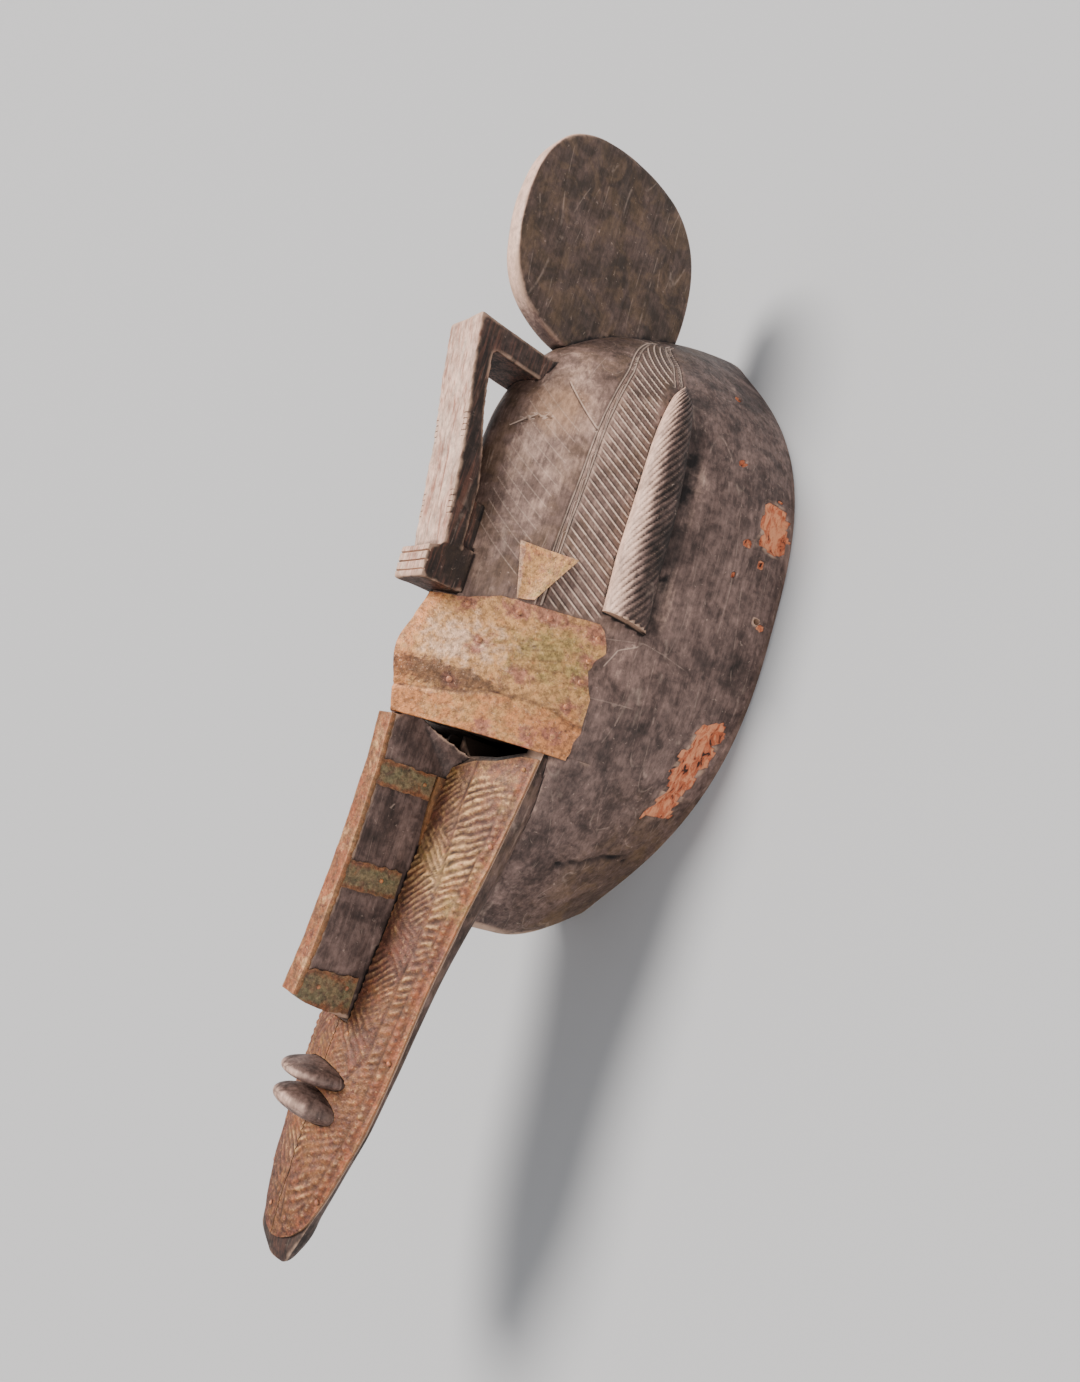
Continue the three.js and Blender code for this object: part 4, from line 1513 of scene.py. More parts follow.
@dataclass
class NoseBand(Metal):
    """A narrow band folded over the blade of the nose."""

    low: float = 0.0
    high: float = 0.0
    clear: float = 0.0
    nose: Nose = field(default_factory=Nose)
    ragged: float = 1.1
    bend: float = 1.3
    rows: int = 24

    def wall(self, s: Array, out: float, seed: int) -> Array:
        """One face of the band.

        Args:
            s: Places along the mask, one per row.
            out: How far from the wood.
            seed: Picks its dents.

        Returns:
            A grid of points.
        """
        half, bend = self.nose.half_width + out, self.bend
        rows = []
        for place in s:
            top = float(read(self.nose.front_edge, place + out)) + out
            climb = np.linspace(self.clear, max(top - bend, self.clear + 1), self.rows)
            turn = np.linspace(0, math.pi / 2, 5)[1:]
            side_x = np.concatenate([np.full(self.rows, half), half - bend * (1 - np.cos(turn))])
            side_z = np.concatenate([climb, climb[-1] + bend * np.sin(turn)])
            x = np.concatenate([side_x, np.linspace(half - bend, bend - half, 5)[1:-1], -side_x[::-1]])
            z = np.concatenate([side_z, np.full(3, side_z[-1]), side_z[::-1]])
            rows.append(spots(x, place, z))
        grid = np.array(rows)
        if seed:
            dents = rough(grid, (0.22, 6, seed), (0.12, 2.5, seed + 1))
            grid += unit(grid * [1, 0, 0.02]) * dents[..., None] * [1, 0, 1]
        return grid

    def shell(self) -> Shell:
        """Returns the band with its uneven edges."""
        s = np.linspace(self.low, self.high, 22)
        face, back = self.wall(s, self.face, 101), self.wall(s, self.gap, 0)
        share = (s - self.low)[:, None] / (self.high - self.low)
        up = face[-1, :, 2]
        jag = self.ragged * (lumps(spots(self.low, up, up), 3.2, int(self.low)) - 1)
        for grid in (face, back):
            grid[..., 1] += share ** 3 * jag - 0.6 * (1 - share) ** 3 * jag[::-1]
        return sheet(face, back, rust=0.22 + 0.4 * smooth(np.abs(share - 0.5) * 2, 0.45, 0.9), olive=0.4,
                     dark=0.28, purple=0.3)


@dataclass
class RidgeStrip(Metal):
    """The strip that lies along the ridge of the nose, over the bands."""

    low: float = 123.4
    high: float = 262.3
    half_width: float = 6.4
    over_bands: float = 1.2
    fold: float = 1.9
    section: Pairs = (
        (-1.06, 1), (-1.05, 0.5), (-1, 0.12), (-0.82, 0), (-0.5, 0), (0, 0), (0.5, 0), (0.82, 0), (1, 0.12),
        (1.05, 0.5), (1.06, 1))
    nose: Nose = field(default_factory=Nose)

    def shell(self) -> Shell:
        """Returns the strip with its two turned-down, ragged sides."""
        s = np.linspace(self.low, self.high, 180)
        share, down = np.array(self.section).T
        edge = self.nose.front_edge
        rest = np.maximum(read(edge, s), read(edge, s + 1)) + self.over_bands
        ragged = 0.6 * lumps(spots(s, s, s), 4, 115)
        drop = down * (self.fold + ragged)[:, None]
        base = spots(self.half_width * share, s[:, None], rest[:, None] - drop)
        dents = rough(base, (0.2, 8, 111), (0.12, 3, 112))
        face, back = base.copy(), base.copy()
        face[..., 2] += self.face + dents * (down < 0.3)
        back[..., 2] += self.gap
        back[..., 0] -= 0.5 * np.sign(share) * (np.abs(share) > 1)
        return sheet(face, back, rust=0.42, pale=0.2 + 0.3 * lumps(base, 14, 113), purple=0.25,
                     dark=0.35 * down + 0.12)


@dataclass
class Nails:
    """The small round nail heads that hold the sheets."""

    helmet: Helmet
    snout: Snout
    brow: BrowSheet
    radius: float = 1.6
    small_radius: float = 1.2
    side_radius: float = 1.1
    band_face: float = 6.15
    rise: float = 0.75
    profile: Pairs = ((0.9, -0.35), (1.0, -0.1), (0.97, 0.25), (0.8, 0.62), (0.5, 0.9), (0.2, 1.0))
    on_cheeks: Pairs = ((49.5, 254), (47, 214), (41, 150), (36.5, 106), (9.5, 110), (24, 38), (8, 24))
    on_nose: Pairs = ((234, 124), (183, 131), (128.5, 146), (130, 131))

    def head(self, spot: Array, out: Array, radius: float) -> Shell:
        """One nail head.

        Args:
            spot: Its middle, on the sheet's face.
            out: The way it points.
            radius: Its radius.

        Returns:
            The closed shell.
        """
        aside = unit(np.cross(out, [0.3, 1.0, 0.2]))
        other = np.cross(out, aside)
        turn = turns(14)[:, None]
        around = aside * np.cos(turn) + other * np.sin(turn)
        rings = [spot + around * radius * r + out * self.rise * h for r, h in self.profile]
        return tube(np.array(rings), rust=0.55, purple=0.5, dark=0.2)

    def shell(self) -> Shell:
        """Returns all the nail heads."""
        heads = []
        for side in (1, -1):
            for place, spot in self.brow.nails:
                point, out = self.helmet.surface(place, side * spot)
                heads.append(self.head(point + out * (self.brow.face + 0.1), out, self.radius))
            for x, s in self.on_cheeks:
                point = np.array([side * x, s, float(self.snout.top(x, s)) + 1.3])
                lean = float(self.snout.top(x + 1, s) - self.snout.top(x - 1, s)) / 2
                heads.append(self.head(point, unit(np.array([-side * lean, 0, 1.0])), self.small_radius))
            for s, z in self.on_nose:
                out = np.array([side * 1.0, 0, 0])
                heads.append(self.head(np.array([side * self.band_face, s, z]), out, self.side_radius))
        return gather(heads)


@dataclass
class Wiring:
    """Adds and links the nodes of one tree."""

    tree: bpy.types.NodeTree

    def plug(self, made: bpy.types.Node, inputs: dict) -> None:
        """Gives a node's inputs their sockets or constant values.

        Args:
            made: The node.
            inputs: The inputs' names or numbers, with what each is given.
        """
        for key, value in inputs.items():
            if isinstance(value, bpy.types.NodeSocket):
                self.tree.links.new(value, made.inputs[key])
            else:
                made.inputs[key].default_value = value

    def node(self, kind: str, inputs: dict | None = None, **settings: object) -> bpy.types.Node:
        """Adds one node.

        Args:
            kind: Its type, without the usual first words.
            inputs: Values or sockets for its inputs.
            settings: Its own settings.

        Returns:
            The node.
        """
        made = self.tree.nodes.new("ShaderNode" + kind)
        for name, value in settings.items():
            setattr(made, name, value)
        self.plug(made, inputs or {})
        return made

    def math(self, operation: str, a: Wire | float, b: Wire | float = 0.0) -> Wire:
        """Returns one sum."""
        return self.node("Math", {0: a, 1: b}, operation=operation).outputs[0]

    def times(self, *values: Wire | float) -> Wire:
        """Returns the product of two values or more."""
        return reduce(lambda a, b: self.math("MULTIPLY", a, b), values)

    def plus(self, a: Wire, b: Wire | float) -> Wire:
        """Returns the sum of two values."""
        return self.math("ADD", a, b)

    def minus(self, a: Wire, b: Wire | float) -> Wire:
        """Returns one value less another."""
        return self.math("SUBTRACT", a, b)

    def apart(self, a: Wire, b: float) -> Wire:
        """Returns how far a value lies from a number."""
        return self.math("ABSOLUTE", self.minus(a, b))

    def larger(self, a: Wire, b: Wire) -> Wire:
        """Returns the larger of two values."""
        return self.math("MAXIMUM", a, b)

    def fade(self, value: Wire, low: float, high: float, start: float = 0.0, end: float = 1.0) -> Wire:
        """Returns start below low, end above high and an even ease between."""
        inputs = {0: value, 1: low, 2: high, 3: start, 4: end}
        return self.node("MapRange", inputs, interpolation_type="SMOOTHSTEP").outputs[0]

    def mix(self, share: Wire | float, a: Wire | Colour, b: Wire | Colour, blend: str = "MIX") -> Wire:
        """Returns one colour laid over another."""
        inputs = {0: share, 6: a, 7: b}
        return self.node("Mix", inputs, data_type="RGBA", blend_type=blend).outputs[2]

    def layers(self, colour: Wire | Colour, *laid: tuple[Wire, Wire | Colour]) -> Wire:
        """Returns a colour with others laid over it, each given as its share and colour."""
        return reduce(lambda under, top: self.mix(top[0], under, top[1]), laid, colour)

    def mask(self, key: str) -> Wire:
        """Returns a mask that the mesh carries."""
        return self.node("Attribute", attribute_name=key).outputs["Fac"]

    def place(self, stretch: Triple = (1, 1, 1)) -> Wire:
        """Returns the place in millimetres, each way multiplied by stretch."""
        inputs = {"Vector": self.node("TexCoord").outputs["Object"], "Scale": tuple(k / MM for k in stretch)}
        return self.node("Mapping", inputs).outputs[0]

    def moved(self, by: Wire | float, stretch: Triple = (1, 1, 1)) -> Wire:
        """Returns the place moved the same way along each axis, to pick another pattern."""
        by = (by,) * 3 if isinstance(by, float) else by
        return self.node("VectorMath", {0: self.place(stretch), 1: by}, operation="ADD").outputs[0]

    def noise(self, place: Wire, size: float | Wire, detail: float = 3.0, rough: float = 0.5,
              warp: float = 0.0) -> Wire:
        """Returns random lumps of a size in millimetres, between 0 and 1.

        Args:
            place: The place it is read at.
            size: Width of a lump.
            detail: How many finer layers.
            rough: How strong they are.
            warp: How far the place is bent.

        Returns:
            The value.
        """
        scale = 1 / size if isinstance(size, float) else self.math("DIVIDE", 1.0, size)
        inputs = {"Vector": place, "Scale": scale, "Detail": detail, "Roughness": rough, "Distortion": warp}
        return self.node("TexNoise", inputs).outputs[0]

    def near(self, spot: Triple, reach: float, soft: float) -> Wire:
        """Returns 1 close to a point in x, s, z and 0 beyond the reach, with an uneven border.

        Args:
            spot: The point.
            reach: The distance in millimetres.
            soft: Half the width of its border.

        Returns:
            The mask.
        """
        place = self.place()
        centre = (spot[0], spot[1] - MIDDLE, spot[2])
        gap = self.node("VectorMath", {0: place, 1: centre}, operation="DISTANCE").outputs["Value"]
        uneven = self.times(self.noise(place, reach * 0.45, 3.0, 0.6), reach * 0.9)
        return self.fade(self.plus(gap, uneven), reach * 1.45 + soft, reach * 1.45 - soft)


class Effects:
    """The effects that more than one finish uses, as node groups."""

    def __init__(self) -> None:
        """Builds each group once."""
        self.grain = self.make("wood_grain", self.wire_grain, ("Streak", "Height"), Size=1.6)
        self.wear = self.make("edge_wear", self.wire_wear, ("Wear",), Amount=1.0)
        # This group darkens hollows and cuts, partly as dirt and partly as painted shade.
        self.grime_and_shade = self.make("grime_and_shade", self.wire_grime_and_shade, ("DirtAndShade",), Amount=1.0)
        self.scuff = self.make("scuffs", self.wire_scuff, ("Mask",), Size=30.0, Seed=0.0, Width=0.012)
        self.blotch = self.make("blotches", self.wire_blotch, ("Mask",), Size=20.0, Low=0.45, High=0.6,
                                Seed=0.0)

    def make(self, name: str, wire: Callable, results: tuple[str, ...],
             **values: float) -> bpy.types.NodeTree:
        """Makes one group.

        Args:
            name: Its name.
            wire: The method that fills it, given the wiring and the inputs.
            results: Its outputs.
            values: Its inputs and what they start at.

        Returns:
            The group.
        """
        tree = bpy.data.node_groups.new(name, "ShaderNodeTree")
        for key, value in values.items():
            socket = tree.interface.new_socket(key, in_out="INPUT", socket_type="NodeSocketFloat")
            socket.default_value = value
        for key in results:
            tree.interface.new_socket(key, in_out="OUTPUT", socket_type="NodeSocketFloat")
        made = wire(Wiring(tree), tree.nodes.new("NodeGroupInput").outputs)
        end = tree.nodes.new("NodeGroupOutput")
        for key, wired in zip(results, made):
            tree.links.new(wired, end.inputs[key])
        return tree

    def wire_grain(self, w: Wiring, given: object) -> tuple[Wire, Wire]:
        """Streaks that run along the mask, and pores.

        Args:
            w: The group's wiring.
            given: The group's inputs.

        Returns:
            The streaks, and the height of the surface.
        """
        streak = w.noise(w.place((1, 0.07, 1)), given["Size"], 4.0, 0.62, 0.3)
        broad = w.noise(w.place((1, 0.12, 1)), 9.0, 3.0, 0.55, 0.4)
        pores = w.fade(w.noise(w.place((1, 0.16, 1)), 0.9, 2.0, 0.7), 0.28, 0.42)
        return (w.plus(w.times(streak, 0.55), w.times(broad, 0.45)),
                w.plus(w.times(streak, 0.7), w.times(pores, 0.3)))

    def wire_wear(self, w: Wiring, given: object) -> tuple[Wire]:
        """Where proud edges are rubbed."""
        uneven = w.fade(w.noise(w.place(), 7.0, 4.0, 0.65), 0.25, 0.65, 0.45, 1.5)
        return (w.times(w.fade(w.times(w.mask("proud"), uneven), 0.1, 0.62), given["Amount"]),)

    def wire_grime_and_shade(self, w: Wiring, given: object) -> tuple[Wire]:
        """Where hollows and cuts darken, partly as dirt and partly as painted shade."""
        low = w.larger(w.fade(w.mask("hollow"), 0.08, 0.7), w.mask("deep"))
        return (w.times(low, w.fade(w.noise(w.place(), 9.0, 3.0, 0.6), 0.3, 0.7, 0.5, 1.2), given["Amount"]),)

    def wire_blotch(self, w: Wiring, given: object) -> tuple[Wire]:
        """Uneven patches."""
        uneven = w.noise(w.moved(given["Seed"]), given["Size"], 5.0, 0.6, 0.6)
        return (w.fade(uneven, given["Low"], given["High"]),)

    def wire_scuff(self, w: Wiring, given: object) -> tuple[Wire]:
        """Thin wandering scratches, broken up.

        Args:
            w: The group's wiring.
            given: The group's inputs.

        Returns:
            The mask.
        """
        near = w.apart(w.noise(w.moved(given["Seed"], (1, 0.14, 1)), given["Size"], 0.0, 0.4), 0.5)
        thin = w.node("MapRange", {0: near, 1: given["Width"], 2: 0.0, 3: 0.0, 4: 1.0}).outputs[0]
        return (w.times(thin, w.fade(w.noise(w.place(), 13.0, 3.0, 0.7), 0.48, 0.6)),)

    def use(self, w: Wiring, group: bpy.types.NodeTree, **values: float) -> bpy.types.NodeOutputs:
        """Places a group in a material with its own values, and returns its outputs."""
        return w.node("Group", values, node_tree=group).outputs

    def patches(self, w: Wiring, size: float, low: float, high: float, seed: float) -> Wire:
        """Returns patches of a size in millimetres, 0 below low and 1 above high, picked by the seed."""
        return self.use(w, self.blotch, Size=size, Low=low, High=high, Seed=seed)["Mask"]


def start_material(name: str) -> tuple[bpy.types.Material, Wiring, bpy.types.Node]:
    """Makes an empty material.

    Args:
        name: Its name.

    Returns:
        The material, its wiring and its surface shader.
    """
    material = bpy.data.materials.new(name)
    material.use_nodes = True
    return material, Wiring(material.node_tree), material.node_tree.nodes["Principled BSDF"]


@dataclass(frozen=True)
class WoodFinish:
    """Old dark-stained wood: paler where it faces up, as dust and painted light, rubbed on its edges, orange
    where it broke.
    """

    name: str = "dark_wood"
    darkest: Colour = (0.017, 0.010, 0.008, 1)
    dark: Colour = (0.074, 0.044, 0.037, 1)
    middle: Colour = (0.215, 0.136, 0.115, 1)
    # The top of the tone ramp: dust and painted light on faces that turn up.
    dusty_and_lit: Colour = (0.740, 0.485, 0.380, 1)
    warm: Colour = (0.150, 0.088, 0.048, 1)
    red: Colour = (0.270, 0.090, 0.050, 1)
    rubbed: Colour = (0.560, 0.360, 0.255, 1)
    # The colour of dirt and of painted shade in hollows and cuts, and of the hollow inside and the eye slits.
    grime_and_shade: Colour = (0.008, 0.005, 0.005, 1)
    raw: Colour = (0.700, 0.290, 0.150, 1)
    raw_deep: Colour = (0.460, 0.120, 0.055, 1)
    tan: Colour = (0.560, 0.320, 0.190, 1)
    # The dark between broken fibres, and of the painted shadows beside incised lines and in pits.
    line: Colour = (0.036, 0.020, 0.016, 1)
    chalk: Colour = (0.820, 0.610, 0.490, 1)
    tan_spot: Triple = (32, 438, 134)

    def tone(self, w: Wiring, effects: Effects, streak: Wire) -> Wire:
        """Returns how pale the wood is: paler above and dark on its sides, as dust and painted light,
        streaked and clouded.

        Args:
            w: The material's wiring.
            effects: The shared effects.
            streak: The streaks of the grain.

        Returns:
            The tone, from 0 to 1.
        """
        cloud = effects.patches(w, 24.0, 0.3, 0.7, 3.0)
        small = effects.patches(w, 6.5, 0.3, 0.7, 14.0)
        # Painted light: faces that turn up are paler, partly as dust.
        tone = w.times(w.mask("pale"), w.fade(w.mask("up"), 0.25, 0.8, 0.45, 1.0))
        for part, share in ((cloud, 0.3), (small, 0.2), (streak, 0.8)):
            tone = w.plus(tone, w.times(w.minus(part, 0.5), share))
        return tone

    def stained(self, w: Wiring, effects: Effects, streak: Wire) -> Wire:
        """Returns the wood's own colour with its stains, dust and scuffs.

        Args:
            w: The material's wiring.
            effects: The shared effects.
            streak: The streaks of the grain.

        Returns:
            The colour.
        """
        ramp = w.node("ValToRGB", {0: self.tone(w, effects, streak)})
        stops = ((0.0, self.darkest), (0.24, self.dark), (0.56, self.middle), (1.0, self.dusty_and_lit))
        for k, (place, colour) in enumerate(stops):
            stop = ramp.color_ramp.elements[k] if k < 2 else ramp.color_ramp.elements.new(place)
            stop.position, stop.color = place, colour
        red, brown = w.mask("red"), effects.patches(w, 15.0, 0.42, 0.66, 8.0)
        chalky = w.times(w.fade(streak, 0.47, 0.36), red, w.fade(w.mask("up"), 0.3, 0.8, 0.0, 0.8))
        speck = effects.patches(w, 2.6, 0.64, 0.74, 9.0)
        scuffs = w.larger(*(effects.use(w, effects.scuff, Size=size, Seed=seed, Width=width)["Mask"]
                            for size, seed, width in ((26.0, 5.0, 0.008), (15.0, 60.0, 0.012))))
        colour = w.layers(
            ramp.outputs[0],
            (w.times(w.mask("warm"), w.fade(brown, 0, 1, 0.25, 0.9)), self.warm),
            (w.times(w.fade(streak, 0.46, 0.6), red), self.red),
            (chalky, self.chalk),
            (w.times(w.near(self.tan_spot, 15.0, 8.0), 0.55), self.tan),
            (w.larger(w.times(speck, 0.3), w.times(scuffs, 0.16)), self.chalk))
        mottle = w.fade(w.noise(w.place((1, 0.5, 1)), 2.4, 5.0, 0.7), 0.32, 0.66, 0.7, 1.22)
        return w.mix(1.0, colour, mottle, "MULTIPLY")

    def fresh(self, w: Wiring, fibre: Wire) -> Wire:
        """Returns the colour of wood that has lost its skin, darker between its fibres, with painted shade in
        its pits.
        """
        low = w.larger(w.fade(fibre, 0.42, 0.35), w.fade(w.mask("hollow"), 0.85, 1.1, 0, 0.6))
        return w.layers(self.raw_deep, (w.fade(fibre, 0.42, 0.6), self.raw), (low, self.line))

    def material(self, effects: Effects) -> bpy.types.Material:
        """Returns the material.

        Args:
            effects: The shared effects.

        Returns:
            The material.
        """
        material, w, shader = start_material(self.name)
        grain = effects.use(w, effects.grain, Size=1.5)
        above = w.node("SeparateXYZ", {0: w.place()}).outputs[2]
        wear = w.times(effects.use(w, effects.wear, Amount=0.75)["Wear"], w.fade(above, 2, 14, 0.1, 1))
        dirt_and_shade = effects.use(w, effects.grime_and_shade, Amount=0.92)["DirtAndShade"]
        colour = w.mix(wear, self.stained(w, effects, grain["Streak"]), self.rubbed)
        colour, cuts = self.carving(w, colour)
        fibre = w.noise(w.place((1, 0.4, 1)), 3.4, 4.0, 0.62, 0.6)
        raw = w.fade(w.mask("raw"), 0.35, 0.6)
        # Hollows and cuts darken, partly dirt and partly painted shade, and the hollow and the eye slits
        # inside go nearly black as painted shade.
        colour = w.layers(colour, (dirt_and_shade, self.grime_and_shade), (w.times(w.mask("inside"), 0.93), self.grime_and_shade),
                          (raw, self.fresh(w, fibre)))
        dull = w.plus(w.fade(grain["Streak"], 0.35, 0.65, 0.66, 0.5), w.times(raw, 0.3))
        relief = w.minus(w.times(grain["Height"], 0.4), w.times(cuts, 0.4))
        relief = w.plus(relief, w.times(w.noise(w.place(), 5.0, 3.0, 0.5), 0.25))
        relief = w.plus(relief, w.times(raw, fibre, 3.0))
        bump = w.node("Bump", {"Height": relief, "Strength": 0.6, "Distance": 0.8 * MM})
        w.plug(shader, {"Base Color": colour, "Roughness": w.plus(dull, w.times(dirt_and_shade, 0.2)),
                        "Normal": bump.outputs[0], "Specular IOR Level": 0.38})
        return material

    def carving(self, w: Wiring, colour: Wire) -> tuple[Wire, Wire]:
        """Dust in the incised lines, with a painted shadow along one side of each.

        Args:
            w: The material's wiring.
            colour: The colour under them.

        Returns:
            The new colour, and where the lines are cut.
        """
        broken = w.fade(w.noise(w.place(), 8.0, 3.0, 0.6), 0.3, 0.5, 0.45, 1.0)
        turn, hatched = w.math("FRACT", w.mask("hatch")), w.mask("hatched")
        line, lined = w.mask("line"), w.mask("lined")
        pale = w.times(w.fade(w.apart(turn, 0.5), 0.34, 0.44), hatched)
        # The dark side of each hatch groove and incised line is a painted shadow.
        shade = w.times(w.fade(w.apart(turn, 0.24), 0.15, 0.04), hatched)
        cut = w.times(w.fade(w.apart(line, 0.25), 0.4, 0.1), w.fade(lined, 0.3, 0.7))
        dust = w.times(w.fade(w.apart(line, -0.5), 0.5, 0.1), w.fade(lined, 0.1, 0.35, 0.0, 0.7))
        colour = w.layers(colour, (w.times(w.larger(shade, cut), 0.7), self.line),
                          (w.times(w.larger(pale, dust), broken, 0.8), self.chalk))
        return colour, w.larger(pale, cut)


@dataclass(frozen=True)
class MetalFinish:
    """Thin beaten sheet, dull and stained."""

    name: str
    base: Colour
    olive: Colour
    pale: Colour
    rust: Colour
    purple: Colour
    dark: Colour
    metallic: float
    seed: float
    stains: tuple[tuple[str, float, float, float], ...] = (
        ("olive", 11.0, 1.6, 0.9), ("pale", 6.0, 1.5, 0.85), ("rust", 7.0, 1.8, 0.8),
        ("purple", 4.5, 1.8, 0.7), ("dark", 3.6, 1.5, 0.75))

    def material(self, effects: Effects) -> bpy.types.Material:
        """Returns the material.

        Args:
            effects: The shared effects.

        Returns:
            The material.
        """
        material, w, shader = start_material(self.name)
        wear = effects.use(w, effects.wear, Amount=0.15)["Wear"]
        dirt_and_shade = effects.use(w, effects.grime_and_shade, Amount=0.85)["DirtAndShade"]
        colour = self.base
        tints = (self.olive, self.pale, self.rust, self.purple, self.dark)
        for k, ((key, size, ragged, strength), tint) in enumerate(zip(self.stains, tints)):
            uneven = w.minus(w.noise(w.moved(self.seed + 9.0 * k), size, 5.0, 0.65, 0.5), 0.5)
            share = w.plus(w.mask(key), w.times(uneven, ragged))
            colour = w.mix(w.fade(share, 0.22, 0.68, 0.0, strength), colour, tint)
        speck = effects.patches(w, 1.7, 0.56, 0.68, self.seed + 2)
        glint = effects.patches(w, 1.5, 0.58, 0.7, self.seed + 31)
        colour = w.layers(colour, (w.times(speck, 0.55), self.dark), (w.times(glint, 0.5), self.pale))
        mottle = w.fade(w.noise(w.place(), 3.0, 5.0, 0.72), 0.34, 0.64, 0.55, 1.3)
        colour = w.mix(1.0, colour, mottle, "MULTIPLY")
        # Hollows and cuts darken, partly patina and dirt and partly painted shade.
        colour = w.layers(colour, (wear, self.pale), (dirt_and_shade, self.dark))
        dents = w.plus(w.times(w.noise(w.place(), 3.2, 4.0, 0.6), 0.7),
                       w.times(w.noise(w.place(), 1.1, 2.0, 0.6), 0.3))
        bump = w.node("Bump", {"Height": dents, "Strength": 1.0, "Distance": 0.9 * MM})
        w.plug(shader, {"Base Color": colour, "Roughness": w.fade(dirt_and_shade, 0, 1, 0.56, 0.8),
                        "Metallic": w.fade(dirt_and_shade, 0, 1, self.metallic, 0.0), "Normal": bump.outputs[0]})
        return material


BROW_BRASS = MetalFinish(
    "brow_brass", (0.52, 0.265, 0.100, 1), (0.36, 0.245, 0.082, 1), (0.66, 0.43, 0.29, 1),
    (0.56, 0.205, 0.070, 1), (0.30, 0.100, 0.085, 1), (0.070, 0.026, 0.016, 1), 0.2, 1.0)
CHEEK_COPPER = MetalFinish(
    "cheek_copper", (0.230, 0.092, 0.034, 1), (0.320, 0.195, 0.060, 1), (0.62, 0.37, 0.170, 1),
    (0.300, 0.080, 0.030, 1), (0.130, 0.046, 0.038, 1), (0.030, 0.012, 0.008, 1), 0.2, 21.0)
BAND_BRASS = MetalFinish(
    "band_brass", (0.215, 0.150, 0.075, 1), (0.160, 0.145, 0.072, 1), (0.38, 0.23, 0.11, 1),
    (0.250, 0.078, 0.028, 1), (0.12, 0.045, 0.035, 1), (0.028, 0.016, 0.010, 1), 0.2, 41.0)


@dataclass
class Studio:
    """The floor, lights and camera."""

    eye: Triple = (0.4393, -0.0920, 0.3920)
    camera_turn: Triple = (29.1931, 47.8601, 25.4159)
    lens: float = 26.206
    floor_tone: Colour = (0.45, 0.465, 0.49, 1)
    floor_rings: Pairs = ((18.0, 0.0), (40.0, 1.2), (90.0, 7.0))
    floor_sides: int = 48
    lamps: tuple[tuple[str, Triple, float, float, Triple], ...] = (
        ("key", (-0.32, 0.34, 1.0), 5.6, 24, (1.0, 0.93, 0.86)),
        ("fill", (1.2, -0.7, 0.7), 1.35, 50, (1.0, 0.95, 0.91)))
    world_tone: Colour = (0.95, 0.95, 0.96, 1)
    world_strength: float = 0.47

    def floor(self) -> None:
        """Lays the plain pale floor, which rises a little far away."""
        mesh = bpy.data.meshes.new("floor")
        count = self.floor_sides
        turn = turns(count)
        points = [(reach * math.cos(a), reach * math.sin(a), rise)
                  for reach, rise in self.floor_rings for a in turn]
        faces = [tuple(range(count))]
        for low in range(0, count * (len(self.floor_rings) - 1), count):
            for k in range(count):
                n = (k + 1) % count
                faces.append((low + k, low + n, low + count + n, low + count + k))
        mesh.from_pydata(points, [], faces)
        plane = bpy.data.objects.new("floor", mesh)
        bpy.context.scene.collection.objects.link(plane)
        material, w, shader = start_material("floor")
        w.plug(shader, {"Base Color": self.floor_tone, "Roughness": 0.9})
        mesh.materials.append(material)

    def light(self, name: str, place: Triple, power: float, width: float, tint: Triple) -> None:
        """Hangs one far soft light that points at the mask.

        Args:
            name: Its name.
            place: The way it shines from.
            power: Its strength.
            width: How wide it looks, in degrees.
            tint: Its colour.
        """
        data = bpy.data.lights.new(name, "SUN")
        data.energy, data.angle, data.color = power, math.radians(width), tint
        lamp = bpy.data.objects.new(name, data)
        lamp.location = place
        lamp.rotation_euler = (-Vector(place)).to_track_quat("-Z", "Y").to_euler()
        bpy.context.scene.collection.objects.link(lamp)

    def build(self) -> None:
        """Sets up the floor, lights, camera and surroundings."""
        self.floor()
        for lamp in self.lamps:
            self.light(*lamp)
        world = bpy.data.worlds.new("studio")
        world.use_nodes = True
        background = {"Color": self.world_tone, "Strength": self.world_strength}
        Wiring(world.node_tree).plug(world.node_tree.nodes["Background"], background)
        bpy.context.scene.world = world
        data = bpy.data.cameras.new("camera")
        data.lens = self.lens
        data.clip_start = 0.01
        camera = bpy.data.objects.new("camera", data)
        turned = Euler([math.radians(angle) for angle in self.camera_turn]).to_matrix().to_4x4()
        camera.matrix_world = Matrix.Translation(self.eye) @ turned
        bpy.context.scene.collection.objects.link(camera)
        bpy.context.scene.camera = camera


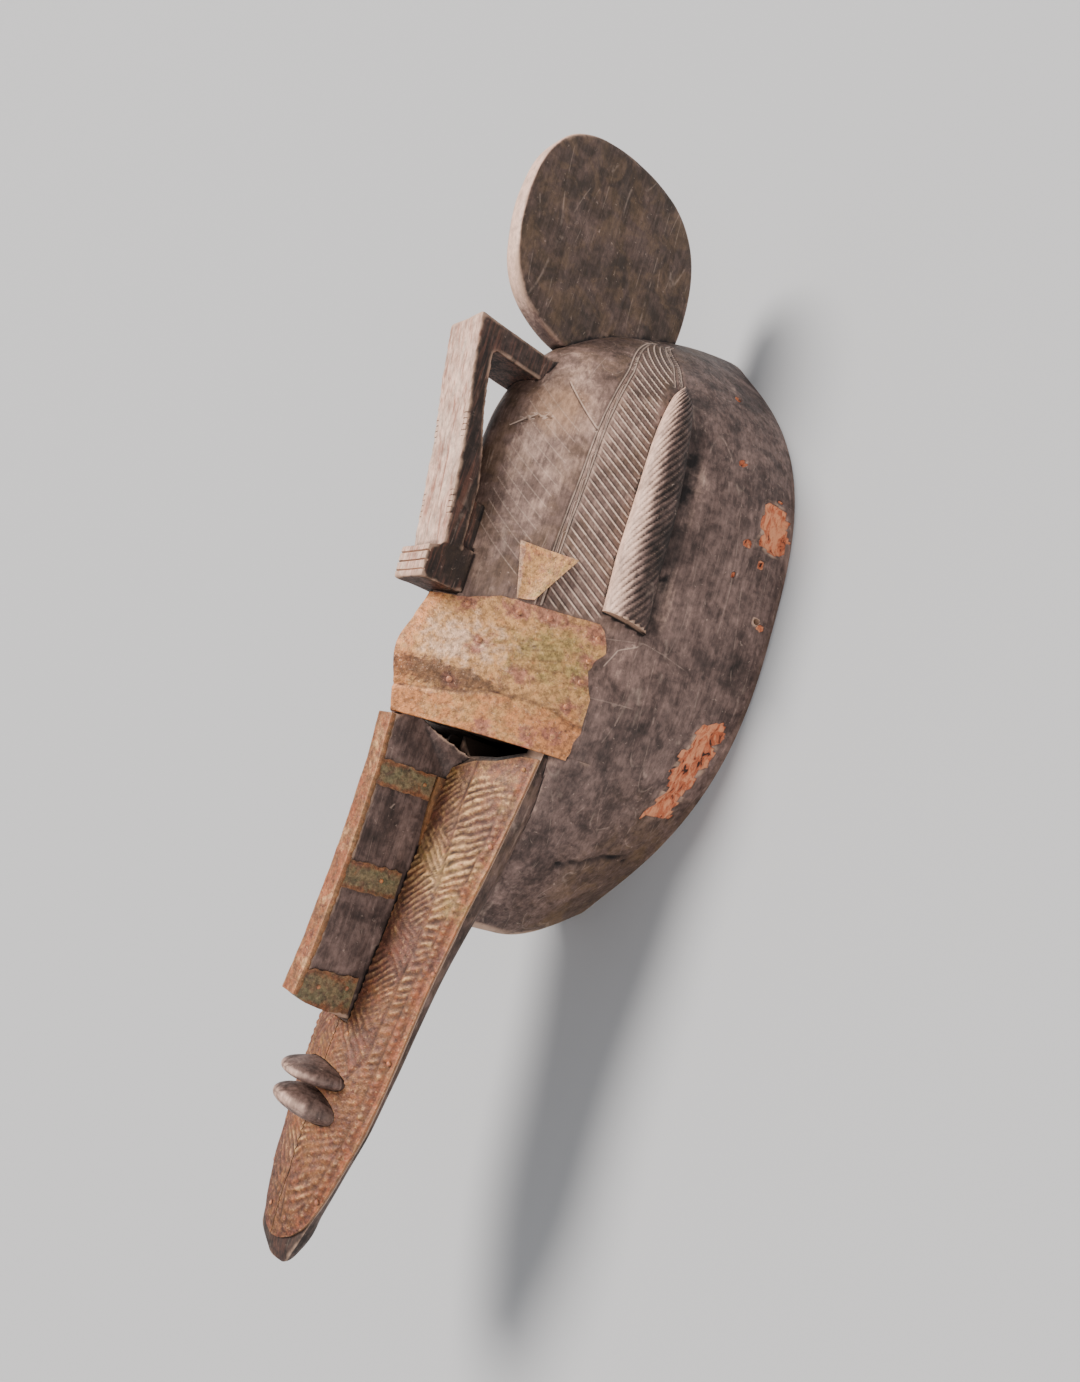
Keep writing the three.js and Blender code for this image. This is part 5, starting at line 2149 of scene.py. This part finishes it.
@dataclass
class Part:
    """A finished piece and what it stands for."""

    piece: Piece
    slot: str
    node: str | None = None
    crease: float = 40.0
    strength: float = 1.0

    def dress(self, material: bpy.types.Material) -> None:
        """Gives the piece its material, body and place in the frame.

        Args:
            material: The material of the piece's slot.
        """
        mark_edges(self.piece, self.strength)
        mesh = self.piece.data
        mesh.shade_smooth()
        mesh.set_sharp_from_angle(angle=math.radians(self.crease))
        mesh.materials.clear()
        mesh.materials.append(material)
        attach(self.piece, "root")
        if self.node:
            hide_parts(self.node)
        faces = sum(len(face.vertices) - 2 for face in mesh.polygons)
        LOG.info("%s: %d triangles", self.piece.name, faces)


def main() -> None:
    """Builds the mask piece by piece, then the studio."""
    for leftover in list(bpy.data.objects):
        bpy.data.objects.remove(leftover)
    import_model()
    Studio().build()
    effects = Effects()
    finishes = {finish.name: finish.material(effects)
                for finish in (WoodFinish(), BROW_BRASS, CHEEK_COPPER, BAND_BRASS)}
    helmet, snout = Helmet(), Snout()
    brow = BrowSheet(helmet=helmet)
    plate = ForeheadPlate(helmet=helmet)
    parts = [Part(CarvedBody(helmet, snout).build(), "dark_wood", "carved_body", 42),
             Part(brow.shell().build("brow_metal"), "brow_brass", "brow_sheet", 40, 0.3),
             Part(plate.shell().build("forehead_metal"), "brow_brass", "forehead_plate")]
    for name, side in (("left", 1), ("right", -1)):
        cheek = CheekSheet(side=side, snout=snout).build(f"cheek_metal_{name}")
        parts.append(Part(cheek, "cheek_copper", f"cheek_sheet_{name}"))
    parts.append(Part(RidgeStrip().shell().build("ridge_metal"), "cheek_copper", "nose_ridge_strip"))
    parts.append(Part(Nails(helmet, snout, brow).shell().build("nails"), "brow_brass"))
    for k, (low, high, clear) in enumerate(BAND_SPANS, 1):
        band = NoseBand(low=low, high=high, clear=clear).shell().build(f"band_metal_{k}")
        parts.append(Part(band, "band_brass", f"nose_band_{k}"))
    for part in parts:
        part.dress(finishes[part.slot])


if __name__ == "__main__":
    logging.basicConfig(level=logging.INFO, format="%(message)s")
    main()
